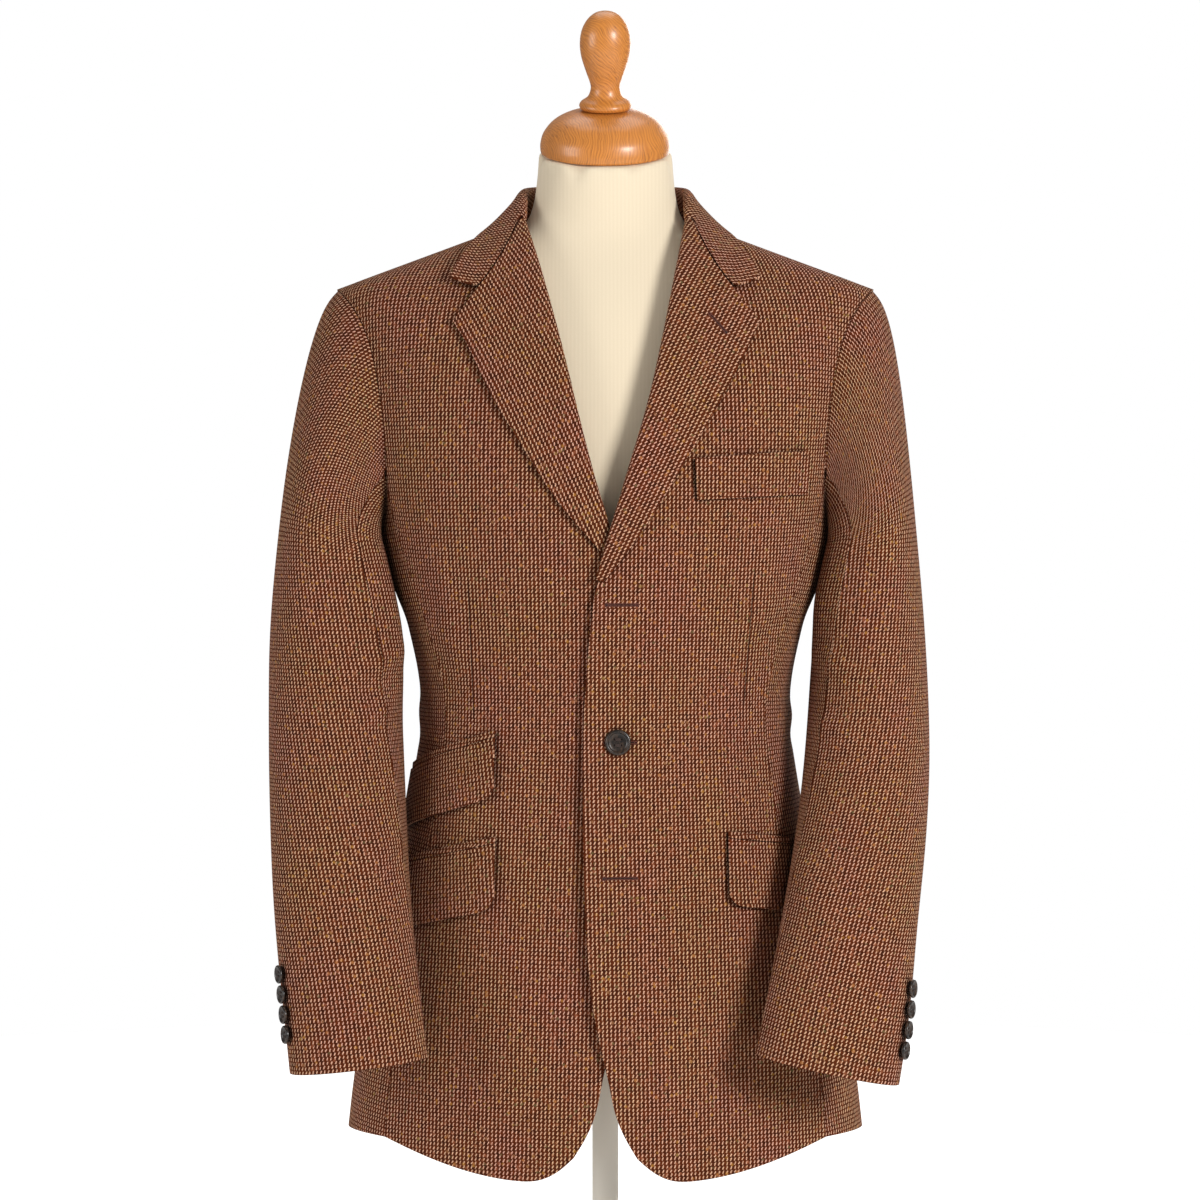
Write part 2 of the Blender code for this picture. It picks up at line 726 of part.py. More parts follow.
def collar_free(along, down):
    """A section away from the gorge: up the stand, round the roll and down the fall."""
    fold_x, fold_y, fold_z, edge_angle, edge_z, neck_angle = rows_at(COLLAR, along)
    fold = np.array((fold_x, fold_y, fold_z))
    edge = body_point(math.radians(edge_angle), edge_z)
    edge += body_normal(math.radians(edge_angle), edge_z) * COLLAR_EDGE_LIFT
    normal = body_normal(math.radians(neck_angle), NECK_Z)
    root = body_point(math.radians(neck_angle), NECK_Z) - normal * WALL / 2
    root[2] += WALL / 2 + SEAM_GAP
    outward = unit(np.array((fold[0], fold[1] * 0.7, 0.0)))
    rise = np.array((0.0, 0.0, 1.0))
    stand_top = fold - outward * COLLAR_ROLL - rise * COLLAR_ROLL
    section = [root, blend(root, stand_top, 0.55), stand_top, fold]
    fall_top = fold + outward * COLLAR_ROLL - rise * COLLAR_ROLL
    section.append(fall_top)
    for t in down[1:]:
        section.append(blend(fall_top, edge, t))
    return np.array(section)


def make_collar():
    down = shares(FALL_COUNT, COLLAR_NOTCH_SHARE, GORGE_STEPS)
    rise = np.array(GORGE_ACROSS) * GORGE_GAP
    places = gorge_places(down, COLLAR_NOTCH_SHARE, COLLAR_CORNER, "right") + rise
    front = np.array(turned_back(places, down, "right"))
    half = []
    for along in np.concatenate((np.linspace(0, 0.45, 7), np.linspace(0.45, 1, 7)[1:])):
        fade = 1 - smooth_step(-0.10, 0.34, along) if along > 0 else 1.0
        half.append(blend(collar_free(along, down), front, fade))
    half = np.array(half)
    mirrored = half[::-1][1:] * np.array((-1.0, 1.0, 1.0))
    return sheet_wall("collar", np.concatenate((half, mirrored)), TWEED["collar"])


# Sleeves

def sleeve_ring(turn, z, side):
    outer, inner, centre_y, half_depth = rows_at(SLEEVE_RINGS[side], z)
    half_width = (outer - inner) / 2
    across = math.cos(turn)
    along = math.sin(turn)
    power = SLEEVE_SQUARENESS
    reach = (abs(across) ** power + abs(along) ** power) ** (-1 / power)
    low = SLEEVE_RINGS[side][0][0]
    slant = CUFF_SLANT[side] * (1 - smooth_step(low, low + CUFF_SLANT_HEIGHT, z))
    x = half_width * reach * across
    return np.array((inner + half_width + x, centre_y - half_depth * reach * along, z - x * slant))


def sleeve_point(turn, share, side):
    """Share 0 at the armhole, 1 at the cuff; the head runs over the first part."""
    low = SLEEVE_RINGS[side][0][0]
    pit = SLEEVE_RINGS[side][-1][0]
    if share >= HEAD_SHARE:
        return sleeve_ring(turn, blend(pit, low, (share - HEAD_SHARE) / (1 - HEAD_SHARE)), side)
    under = ((1 - math.cos(turn)) / 2) ** 4
    angle, z = armhole(turn % (2 * math.pi))
    start = body_point(angle, z) + np.array((SEAM_GAP * 2 + UNDERARM_GAP * under, 0.0, 0.0))
    end = sleeve_ring(turn, pit, side)
    reach = np.linalg.norm(end - start)
    leave = unit(np.array((1.0, 0.0, -HEAD_FALL - UNDERARM_FALL * under)))
    arrive = unit(end - sleeve_ring(turn, pit - 0.01, side))
    one = start + leave * SLEEVE_HEAD_START * reach
    two = end + arrive * SLEEVE_HEAD_END * reach
    t = share / HEAD_SHARE
    return ((1 - t) ** 3 * start + 3 * t * (1 - t) ** 2 * one
            + 3 * t * t * (1 - t) * two + t ** 3 * end)


def sleeve_normal(turn, share, side):
    step = 0.004
    around = sleeve_point(turn + 0.02, share, side) - sleeve_point(turn - 0.02, share, side)
    above = sleeve_point(turn, max(share - step, 0.0), side)
    down = sleeve_point(turn, min(share + step, 1.0), side) - above
    return unit(np.cross(around, down))


def make_sleeve(side):
    stations = np.concatenate((np.linspace(0, HEAD_SHARE, 8), np.linspace(HEAD_SHARE, 1, 11)[1:]))
    for piece in ("top", "under"):
        columns = 12 if piece == "top" else 9
        outer = np.zeros((len(stations), columns, 3))
        inner = outer.copy()
        for j, share in enumerate(stations):
            ease = smooth_step(0.30, 1.0, share)
            hind = blend(HIND_SEAM[0], HIND_SEAM[1], ease)
            fore = blend(FORE_SEAM[0], FORE_SEAM[1], ease)
            gap = SEAM_GAP / 2 / SLEEVE_SEAM_RADIUS
            first, last = hind + gap, fore - gap
            if piece == "under":
                first, last = fore + gap, hind + 2 * math.pi - gap
            for i, turn in enumerate(np.linspace(first, last, columns)):
                normal = sleeve_normal(turn, share, side)
                outer[j, i] = sleeve_point(turn, share, side)
                inner[j, i] = outer[j, i] - normal * WALL
        name = "sleeve_" + piece + "_" + side
        cloth_wall(name, outer, inner, TWEED[name], side)


# Pocket pieces

def pocket_strip(name, pocket, rows_down, lift, thickness, side):
    """A strip lying on the body from the pocket's front corner back round the side.

    rows_down gives, for each row, how far it lies below the pocket line at a span from the front.
    """
    _, front_x, top_z, slope, length, _ = pocket
    middle = np.zeros((len(rows_down), len(STRIP_SPANS), 3))
    for j, row in enumerate(rows_down):
        angle = angle_at_x(front_x, top_z - row(0.0))
        spans = length * np.array(STRIP_SPANS)
        gone = 0.0
        for i, span in enumerate(spans):
            z = top_z - slope * span - row(span)
            while gone < span - 1e-9:
                step = min(0.004, span - gone)
                probe = 0.002
                ahead = body_point(angle + probe, z) - body_point(angle - probe, z)
                angle += step * 2 * probe / np.linalg.norm(ahead)
                gone += step
            spot = body_point(angle, z)
            middle[j, i] = spot + body_normal(angle, z) * (lift + lap(spot[0], side))
    return sheet_wall(name, middle, TWEED[name], side, thickness)


def make_pocket(name):
    pocket = POCKETS[name]
    side, _, _, _, _, drop = pocket

    def flap_row(share):
        def below(span):
            depth = drop
            if span < FLAP_CORNER:
                rounded = math.sqrt(FLAP_CORNER ** 2 - (FLAP_CORNER - span) ** 2)
                depth = drop - FLAP_CORNER + rounded
            return JET_HEIGHT + SEAM_GAP + share * (depth - JET_HEIGHT)
        return below
    pocket_strip("flap_" + name, pocket, [flap_row(share) for share in np.linspace(1, 0, 6)],
                 FLAP_LIFT, WALL, side)
    jet_rows = [lambda span: JET_HEIGHT, lambda span: 0.0]
    pocket_strip("jet_" + name, pocket, jet_rows, JET_LIFT, JET_WALL, side)


def make_welt():
    columns = 8
    middle = np.zeros((4, columns, 3))
    for j, up in enumerate(np.linspace(0, 1, 4)):
        for i, t in enumerate(np.linspace(0, 1, columns)):
            x = blend(WELT_FRONT_X + WELT_SLANT * (1 - up), WELT_BACK_X, t)
            z = blend(blend(*WELT_LOW_Z, t), blend(*WELT_TOP_Z, t), up)
            middle[j, i] = front_point(x, z, "left", WELT_LIFT)
    return sheet_wall("breast_welt", middle, TWEED["breast_welt"])


# Buttons

def facing(point, normal):
    """Frame whose Z is the normal, at a point."""
    turn = Vector((0, 0, 1)).rotation_difference(Vector(normal))
    return Matrix.Translation(Vector(point)) @ turn.to_matrix().to_4x4()


def button_profile(radius):
    high = radius * BUTTON_THICKNESS_SHARE
    return ((0.0, 0.0), (radius * 0.86, 0.0), (radius, high * 0.45), (radius * 0.95, high * 0.9),
            (radius * 0.84, high), (radius * 0.66, high * 0.72), (0.0, high * 0.66))


def make_buttons():
    x = FRONT_BUTTON_X
    angle = angle_at_x(x, FRONT_BUTTON_Z)
    spot = front_point(x, FRONT_BUTTON_Z, "left", BUTTON_STANDOFF)
    turned("front_button", button_profile(FRONT_BUTTON_RADIUS), HORN["front_button"], 24,
           facing(spot, body_normal(angle, FRONT_BUTTON_Z)))
    for side, heights in CUFF_BUTTON_Z.items():
        low = SLEEVE_RINGS[side][0][0]
        pit = SLEEVE_RINGS[side][-1][0]
        for i, z in enumerate(heights):
            share = blend(HEAD_SHARE, 1.0, (pit - z) / (pit - low))
            normal = sleeve_normal(CUFF_BUTTON_ANGLE, share, side)
            spot = sleeve_point(CUFF_BUTTON_ANGLE, share, side) + normal * BUTTON_STANDOFF
            mirror = np.array((SEAM_SIDE[side], 1.0, 1.0))
            name = "cuff_button_{}_{}".format(side, i + 1)
            seat = facing(spot * mirror, normal * mirror)
            turned(name, button_profile(CUFF_BUTTON_RADIUS), HORN[name], 14, seat)


# Dress form and stand

def form_ring(z):
    half_width, front, back, tilt_share = rows_at(FORM_RINGS, z)
    lean = math.tan(CAP_TILT) * tilt_share
    ring = []
    for i in range(FORM_POINTS):
        angle = 2 * math.pi * i / FORM_POINTS
        across = math.sin(angle)
        along = math.cos(angle)
        power = 2.0 if tilt_share == 1.0 else FORM_SQUARENESS
        reach = (abs(across) ** power + abs(along) ** power) ** (-1 / power)
        y = -(front if along > 0 else back) * reach * along
        ring.append(Vector((half_width * reach * across, y, z + y * lean)))
    return ring


def make_form():
    bottom = FORM_RINGS[0][0]
    heights = [bottom, blend(bottom, FORM_RINGS[1][0], 0.4)] + [row[0] for row in FORM_RINGS[1:]]
    bm = bmesh.new()
    loops = []
    for k, z in enumerate(heights):
        ring = form_ring(z)
        if k == 0:
            ring = [Vector((p.x * FORM_BOTTOM_SHARE, p.y * FORM_BOTTOM_SHARE, p.z)) for p in ring]
        verts = [bm.verts.new(point) for point in ring]
        loops.append([bm.edges.new((verts[i - 1], verts[i])) for i in range(len(verts))])
    for low, high in zip(loops, loops[1:]):
        bmesh.ops.bridge_loops(bm, edges=low + high)
    bmesh.ops.holes_fill(bm, edges=loops[0] + loops[-1], sides=0)
    return add_object("form_torso", bm, PLAIN["form_torso"])


def make_stand():
    top = FORM_RINGS[-1][0]
    tilt = Matrix.Rotation(CAP_TILT, 4, "X")
    seat = Matrix.Translation((0, 0, top)) @ tilt
    turned("neck_cap", CAP_PROFILE, PLAIN["neck_cap"], 32, seat @ Matrix.Translation((0, 0, CAP_GAP)))
    turned("neck_knob", KNOB_PROFILE, PLAIN["neck_knob"], 28,
           seat @ Matrix.Translation((0, 0, CAP_PROFILE[-1][1] + 2 * CAP_GAP)))
    pole = ((0.0, BASE_THICKNESS + CAP_GAP), (POLE_RADIUS, BASE_THICKNESS + CAP_GAP),
            (POLE_RADIUS, FORM_RINGS[0][0] - CAP_GAP), (0.0, FORM_RINGS[0][0] - CAP_GAP))
    turned("stand_pole", pole, PLAIN["stand_pole"], 20, Matrix.Identity(4))
    base = ((0.0, 0.0), (BASE_RADIUS - BASE_EDGE / 2, 0.0), (BASE_RADIUS, BASE_EDGE / 2),
            (BASE_RADIUS, BASE_THICKNESS - BASE_EDGE), (BASE_RADIUS - BASE_EDGE, BASE_THICKNESS),
            (0.0, BASE_THICKNESS))
    turned("stand_base", base, PLAIN["stand_base"], 48, Matrix.Identity(4))


for old in list(bpy.data.objects):
    bpy.data.objects.remove(old, do_unlink=True)

STAND = bpy.data.objects.new("stand_origin", None)
bpy.context.scene.collection.objects.link(STAND)

CLOTH_NAMES = ["collar", "breast_welt"]
for kind in ("front", "side", "back", "lapel", "sleeve_top", "sleeve_under"):
    CLOTH_NAMES += [kind + "_left", kind + "_right"]
for pocket_name in POCKETS:
    CLOTH_NAMES += ["flap_" + pocket_name, "jet_" + pocket_name]
TWEED = {name: make_material(name + "_tweed", (0.195, 0.085, 0.037), 0.92) for name in CLOTH_NAMES}
BUTTON_NAMES = ["front_button"]
for garment_side, heights in CUFF_BUTTON_Z.items():
    BUTTON_NAMES += ["cuff_button_{}_{}".format(garment_side, i + 1) for i in range(len(heights))]
HORN = {name: make_material(name + "_horn", (0.030, 0.020, 0.016), 0.35) for name in BUTTON_NAMES}
PLAIN = {
    "form_torso": make_material("form_cover", (0.80, 0.74, 0.64), 0.80),
    "neck_cap": make_material("cap_beech", (0.48, 0.19, 0.055), 0.30),
    "neck_knob": make_material("knob_beech", (0.50, 0.20, 0.060), 0.30),
    "stand_pole": make_material("pole_enamel", (0.82, 0.80, 0.76), 0.35),
    "stand_base": make_material("base_enamel", (0.80, 0.78, 0.74), 0.40),
}

for garment_side in SEAM_SIDE:
    make_front(garment_side)
    make_side(garment_side)
    make_back(garment_side)
    make_lapel(garment_side)
    make_sleeve(garment_side)
make_collar()
make_welt()
for pocket_name in POCKETS:
    make_pocket(pocket_name)
make_buttons()
make_form()
make_stand()
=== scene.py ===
import math

import bmesh
import bpy
from mathutils import Matrix, Vector
from mathutils.bvhtree import BVHTree


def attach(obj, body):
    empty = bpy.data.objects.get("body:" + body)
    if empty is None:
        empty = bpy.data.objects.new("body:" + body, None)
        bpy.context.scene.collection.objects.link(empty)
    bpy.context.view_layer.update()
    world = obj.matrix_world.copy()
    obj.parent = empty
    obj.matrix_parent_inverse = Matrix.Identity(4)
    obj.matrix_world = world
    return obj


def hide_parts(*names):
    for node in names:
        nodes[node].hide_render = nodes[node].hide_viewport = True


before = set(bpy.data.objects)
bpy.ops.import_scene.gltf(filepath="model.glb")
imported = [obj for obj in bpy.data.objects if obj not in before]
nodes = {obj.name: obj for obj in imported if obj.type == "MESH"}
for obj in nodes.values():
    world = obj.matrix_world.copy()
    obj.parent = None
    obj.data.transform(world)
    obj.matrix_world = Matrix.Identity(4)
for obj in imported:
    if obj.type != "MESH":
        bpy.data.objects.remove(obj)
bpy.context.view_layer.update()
print("frame loaded:", len(nodes), "nodes")


def hexColour(code):
    parts = [int(code[i:i + 2], 16) / 255 for i in (1, 3, 5)]
    linear = [c / 12.92 if c <= 0.04045 else ((c + 0.055) / 1.055) ** 2.4 for c in parts]
    return (*linear, 1.0)


def addNode(tree, kind, inputs=None, **settings):
    made = tree.nodes.new(kind)
    for name, value in settings.items():
        setattr(made, name, value)
    for socket, value in (inputs or {}).items():
        if isinstance(value, bpy.types.NodeSocket):
            tree.links.new(value, made.inputs[socket])
        else:
            made.inputs[socket].default_value = value
    return made


def startMaterial(name, **sockets):
    material = bpy.data.materials.new(name)
    material.use_nodes = True
    tree = material.node_tree
    shader = tree.nodes["Principled BSDF"]
    for socket, value in sockets.items():
        shader.inputs[socket.replace("_", " ")].default_value = value
    return material, tree, shader


def showPiece(name, bm, material, smooth=True):
    mesh = bpy.data.meshes.new(name)
    bm.to_mesh(mesh)
    bm.free()
    if smooth:
        mesh.shade_smooth()
    mesh.materials.append(material)
    piece = bpy.data.objects.new(name, mesh)
    bpy.context.scene.collection.objects.link(piece)
    return piece


def place(piece, slotName, *nodeNames):
    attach(piece, "root")
    if nodeNames:
        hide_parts(*nodeNames)
    return piece


def ease(low, high, value):
    t = min(max((value - low) / (high - low), 0.0), 1.0)
    return t * t * (3 - 2 * t)


def mapRange(tree, value, low, high, toLow=0.0, toHigh=1.0, **settings):
    return addNode(tree, "ShaderNodeMapRange", {"Value": value, "From Min": low, "From Max": high,
                                                "To Min": toLow, "To Max": toHigh}, **settings).outputs[0]


def mixColours(tree, share, first, last, blend="MIX"):
    ends = [hexColour(c) if isinstance(c, str) else c for c in (first, last)]
    return addNode(tree, "ShaderNodeMix", {0: share, 6: ends[0], 7: ends[1]},
                   data_type="RGBA", blend_type=blend).outputs[2]


def calc(tree, operation, *values):
    return addNode(tree, "ShaderNodeMath", dict(enumerate(values)), operation=operation).outputs[0]


def calcVector(tree, operation, *values, **named):
    inputs = {**dict(enumerate(values)), **named}
    return addNode(tree, "ShaderNodeVectorMath", inputs, operation=operation).outputs[0]


def noise(tree, vector, scale, detail=2.0, **others):
    inputs = {"Vector": vector, "Scale": scale, "Detail": detail, **others}
    return addNode(tree, "ShaderNodeTexNoise", inputs)


def objectSpot(tree):
    return addNode(tree, "ShaderNodeTexCoord").outputs["Object"]


def roughen(tree, shader, height, strength, depth):
    bump = addNode(tree, "ShaderNodeBump", {"Height": height, "Strength": strength, "Distance": depth})
    tree.links.new(bump.outputs[0], shader.inputs["Normal"])


# camera where the photograph was taken from: level with the waist, three metres off
view = {"target": (-0.0045, 0.0, 0.613), "distance": 3.0, "elevation": 1.0, "lens": 106.5, "sensor": 36.0}


def makeCamera():
    data = bpy.data.cameras.new("studio_camera")
    data.lens = view["lens"]
    data.sensor_width = view["sensor"]
    camera = bpy.data.objects.new("studio_camera", data)
    tilt = math.radians(view["elevation"])
    away = Vector((0, -math.cos(tilt), math.sin(tilt)))
    camera.location = Vector(view["target"]) + away * view["distance"]
    camera.rotation_euler = (-away).to_track_quat("-Z", "Y").to_euler()
    bpy.context.scene.collection.objects.link(camera)
    bpy.context.scene.camera = camera


# round white paper floor with four soft lamps, each given as its place, size in metres and watts
studio = {"paper": "#F6F5F3", "shade": "#EFEDEA", "mottle": 6.0, "radius": 1.9, "aim": (0, 0, 0.6),
          "bounce": 0.20, "glow": 0.60, "skyLight": 0.22, "seenWhite": 1.0,
          "lamps": {"key": ((1.95, -2.5, 1.40), 0.9, 90), "fill": ((-2.8, -1.5, 1.0), 1.5, 40),
                    "top": ((0.0, 0.6, 3.2), 2.0, 24), "back": ((0.9, 2.8, 1.5), 1.6, 30)}}
white = (1.0, 1.0, 1.0, 1.0)


# the white that is seen is brighter than the light it gives, as in a studio with a lit backdrop
def seenStrength(tree, given, seen):
    rays = addNode(tree, "ShaderNodeLightPath")
    return mapRange(tree, rays.outputs["Is Camera Ray"], 0.0, 1.0, given, seen)


def makeStudio():
    material, tree, shader = startMaterial("white_studio_paper", Roughness=0.9, Emission_Color=white)
    tree.links.new(seenStrength(tree, studio["bounce"], studio["glow"]), shader.inputs["Emission Strength"])
    mottle = noise(tree, objectSpot(tree), studio["mottle"]).outputs["Fac"]
    tree.links.new(mixColours(tree, mottle, studio["paper"], studio["shade"]), shader.inputs["Base Color"])
    bm = bmesh.new()
    bmesh.ops.create_circle(bm, cap_ends=True, segments=96, radius=studio["radius"])
    showPiece("studio_floor", bm, material, smooth=False)
    world = bpy.data.worlds.new("studio_white")
    world.use_nodes = True
    tree = world.node_tree
    background = tree.nodes["Background"]
    background.inputs["Color"].default_value = white
    strength = seenStrength(tree, studio["skyLight"], studio["seenWhite"])
    tree.links.new(strength, background.inputs["Strength"])
    bpy.context.scene.world = world
    for name, (spot, size, power) in studio["lamps"].items():
        data = bpy.data.lights.new("softbox_" + name, "AREA")
        data.size = size
        data.energy = power
        lamp = bpy.data.objects.new("softbox_" + name, data)
        lamp.location = spot
        aim = Vector(studio["aim"]) - Vector(spot)
        lamp.rotation_euler = aim.to_track_quat("-Z", "Y").to_euler()
        bpy.context.scene.collection.objects.link(lamp)


bpy.context.scene.view_settings.view_transform = "Standard"  # plain whites, as in the photograph
makeCamera()
makeStudio()
print("camera and studio ready")


# woven wool tweed: a rust and dark brown ground with small slanted tan ticks, rough and slightly hairy
# sizes in shares of the pitch between ticks unless they say mm, mottling in patches per pitch
tweed = {"pitchMm": 3.4, "slant": 24.0, "tickHalfWidth": 0.13, "tickHalfLength": 0.37,
         "blurOut": 0.09, "blurIn": 0.07, "stray": 0.9, "wander": 0.5, "fibres": 4.6, "patches": 0.55,
         "groundSpan": (0.74, 1.26), "tickSpan": (0.30, 0.70),
         "dark": "#2E1104", "rust": "#622D11", "tan": "#C09683", "sand": "#E6C6B8", "sheen": "#C89A70",
         "gold": "#B98A45", "olive": "#6E6A4A", "rose": "#99614A", "fleckMm": 4.2, "fleckRarity": 0.86,
         "fleckSpan": (0.42, 0.15), "fleckShare": 0.55, "cloudSpan": (0.36, 0.64),
         "golden": "#FEF4D3", "rosy": "#FFE8DD", "cloudMm": 60.0, "cloudLength": (1.0, 0.55, 1.0),
         "dartMm": (0.9, 0.3), "dartShade": "#24120A", "dartDepth": 0.75,
         "paintedShadeMm": 7.0, "paintedShadeSpan": (0.35, 0.85), "paintedShadeDarkest": 0.25, "reliefMm": 0.6}


def makeTweed():
    material, tree, shader = startMaterial("woven_wool_tweed", Roughness=0.95, Sheen_Weight=0.04,
                                           Sheen_Roughness=0.5, Specular_IOR_Level=0.12,
                                           Sheen_Tint=hexColour(tweed["sheen"]))
    uv = addNode(tree, "ShaderNodeUVMap", uv_map="cloth").outputs["UV"]
    cells = calcVector(tree, "MULTIPLY", uv, (1000 / tweed["pitchMm"],) * 3)
    half = (0.5, 0.5, 0.5)
    # yarns wander a little, so no two ticks are the same
    stray = calcVector(tree, "SUBTRACT", noise(tree, cells, tweed["stray"], 3.0).outputs["Color"], half)
    moved = calcVector(tree, "ADD", cells, calcVector(tree, "SCALE", stray, Scale=tweed["wander"]))
    centred = calcVector(tree, "SUBTRACT", calcVector(tree, "FRACTION", moved), half)
    turned = addNode(tree, "ShaderNodeVectorRotate", {"Vector": centred, "Angle": math.radians(tweed["slant"])},
                     rotation_type="Z_AXIS")
    axes = addNode(tree, "ShaderNodeSeparateXYZ", {0: turned.outputs[0]})
    edges = []
    for axis, reach in (("X", tweed["tickHalfWidth"]), ("Y", tweed["tickHalfLength"])):
        off = calc(tree, "ABSOLUTE", axes.outputs[axis])
        edges.append(mapRange(tree, off, reach + tweed["blurOut"], reach - tweed["blurIn"],
                              interpolation_type="SMOOTHSTEP"))
    tick = calc(tree, "MULTIPLY", *edges)
    # fibres: fine mottling of both yarns, drawn at about 0.7 mm so that it shows
    fibre = noise(tree, cells, tweed["fibres"], Roughness=0.65).outputs["Fac"]
    blotch = calc(tree, "ADD", fibre, noise(tree, cells, tweed["patches"], 3.0).outputs["Fac"])
    ground = mixColours(tree, mapRange(tree, blotch, *tweed["groundSpan"]), tweed["dark"], tweed["rust"])
    pale = mixColours(tree, mapRange(tree, fibre, *tweed["tickSpan"]), tweed["tan"], tweed["sand"])
    colour = mixColours(tree, tick, ground, pale)
    # coloured flecks spun into a few yarns
    flecks = addNode(tree, "ShaderNodeTexVoronoi", {"Vector": uv, "Scale": 1000 / tweed["fleckMm"]})
    chance = addNode(tree, "ShaderNodeSeparateColor", {0: flecks.outputs["Color"]})
    near = mapRange(tree, flecks.outputs["Distance"], *tweed["fleckSpan"], 0.0, tweed["fleckShare"])
    for channel, code in (("Red", "gold"), ("Green", "olive"), ("Blue", "rose")):
        picked = calc(tree, "GREATER_THAN", chance.outputs[channel], tweed["fleckRarity"])
        colour = mixColours(tree, calc(tree, "MULTIPLY", picked, near), colour, tweed[code])
    # broad drifts of golden and rosy wool along the warp
    drift = addNode(tree, "ShaderNodeMapping", {"Vector": uv, "Scale": tweed["cloudLength"]})
    cloud = noise(tree, drift.outputs[0], 1000 / tweed["cloudMm"], 3.0).outputs["Fac"]
    tint = mixColours(tree, mapRange(tree, cloud, *tweed["cloudSpan"]), tweed["golden"], tweed["rosy"])
    colour = mixColours(tree, 1.0, colour, tint, "MULTIPLY")
    # sewn darts: painted shade of the seam's groove, a dark line where the piece's own attribute says one runs;
    # the same line also sinks the bump
    sewn = addNode(tree, "ShaderNodeAttribute", attribute_name="sewn")
    line = addNode(tree, "ShaderNodeSeparateXYZ", {0: sewn.outputs["Vector"]})
    off = calc(tree, "ABSOLUTE", line.outputs["X"])
    tight = mapRange(tree, off, *tweed["dartMm"], 0.0, tweed["dartDepth"])
    dart = calc(tree, "MULTIPLY", tight, line.outputs["Y"])
    colour = mixColours(tree, dart, colour, tweed["dartShade"])
    # painted shade: ambient occlusion darkens the cloth's colour in crevices, along edges and where two layers
    # of cloth meet
    creviceOcclusion = addNode(tree, "ShaderNodeAmbientOcclusion", {"Distance": tweed["paintedShadeMm"] / 1000}, samples=8)
    shade = mapRange(tree, creviceOcclusion.outputs["AO"], *tweed["paintedShadeSpan"], tweed["paintedShadeDarkest"])
    tree.links.new(calcVector(tree, "SCALE", colour, Scale=shade), shader.inputs["Base Color"])
    relief = calc(tree, "SUBTRACT", calc(tree, "ADD", tick, fibre), dart)
    roughen(tree, shader, relief, 0.6, tweed["reliefMm"] / 1000)
    return material


# turned beech under amber varnish: golden, fine dark flecks along arched growth rings, a clear satin coat
wood = {"pale": "#D5893A", "deep": "#C3772F", "fleck": "#824A22", "ringMm": 2.2, "fleckMm": (0.45, 6.0),
        "fleckSpan": (0.54, 0.70), "fleckShare": 0.75,
        "heart": (0.018, 0.0, -0.945), "lean": (14, 0, 10), "waves": 28.0, "waveMm": 22.0, "grainMm": 0.2}


def makeWood():
    material, tree, shader = startMaterial("turned_beech_varnished", Roughness=0.45, IOR=1.5,
                                           Coat_Weight=0.45, Coat_Roughness=0.24)
    spot = objectSpot(tree)
    # the log's axis runs front to back through the cap, so rings arch across it
    lean = [math.radians(angle) for angle in wood["lean"]]
    lay = addNode(tree, "ShaderNodeMapping", {"Vector": spot, "Location": wood["heart"], "Rotation": lean})
    axes = addNode(tree, "ShaderNodeSeparateXYZ", {0: lay.outputs[0]})
    flat = addNode(tree, "ShaderNodeCombineXYZ", {0: axes.outputs["X"], 1: axes.outputs["Z"]})
    radius = addNode(tree, "ShaderNodeVectorMath", {0: flat.outputs[0]}, operation="LENGTH").outputs["Value"]
    wave = noise(tree, spot, wood["waves"]).outputs["Fac"]
    bent = calc(tree, "MULTIPLY_ADD", wave, wood["waveMm"] / 1000, radius)
    ring = calc(tree, "SINE", calc(tree, "MULTIPLY", bent, 2 * math.pi * 1000 / wood["ringMm"]))
    # pores: short dashes along the rings
    short, long = wood["fleckMm"]
    dashes = ((bent, short), (axes.outputs["X"], long), (axes.outputs["Y"], long))
    pores = addNode(tree, "ShaderNodeCombineXYZ", {k: calc(tree, "MULTIPLY", axis, 1000 / size)
                                                   for k, (axis, size) in enumerate(dashes)})
    dash = noise(tree, pores.outputs[0], 1.0).outputs["Fac"]
    base = mixColours(tree, mapRange(tree, ring, -1.0, 1.0), wood["pale"], wood["deep"])
    pore = mapRange(tree, dash, *wood["fleckSpan"], 0.0, wood["fleckShare"])
    tree.links.new(mixColours(tree, pore, base, wood["fleck"]), shader.inputs["Base Color"])
    roughen(tree, shader, dash, 0.06, wood["grainMm"] / 1000)
    return material


# cream stockinette stretched over the form: matt, with a fine knitted rib
jersey = {"pale": "#EADBC1", "shade": "#E4D4B8", "ribMm": 3.2, "loops": 900.0, "reliefMm": 0.3}


def makeJersey():
    material, tree, shader = startMaterial("knitted_cotton_jersey", Roughness=0.85, Sheen_Weight=0.1,
                                           Specular_IOR_Level=0.25)
    spot = objectSpot(tree)
    turns = 2 * math.pi * 1000 / jersey["ribMm"] / 20  # the wave node turns 20 radians in a metre at scale 1
    rib = addNode(tree, "ShaderNodeTexWave", {"Vector": spot, "Scale": turns, "Distortion": 0.4},
                  bands_direction="X")
    knit = calc(tree, "MULTIPLY", rib.outputs["Fac"], noise(tree, spot, jersey["loops"]).outputs["Fac"])
    tree.links.new(mixColours(tree, knit, jersey["shade"], jersey["pale"]), shader.inputs["Base Color"])
    roughen(tree, shader, knit, 0.12, jersey["reliefMm"] / 1000)
    return material


# polished buffalo horn: near-black brown with paler streaks, a soft gloss
horn = {"dark": "#15100D", "streak": "#4A3525", "streakMm": 2.6, "streakLength": (1.0, 1.0, 0.35),
        "streakSpan": (0.42, 0.78), "roughness": (0.22, 0.45)}


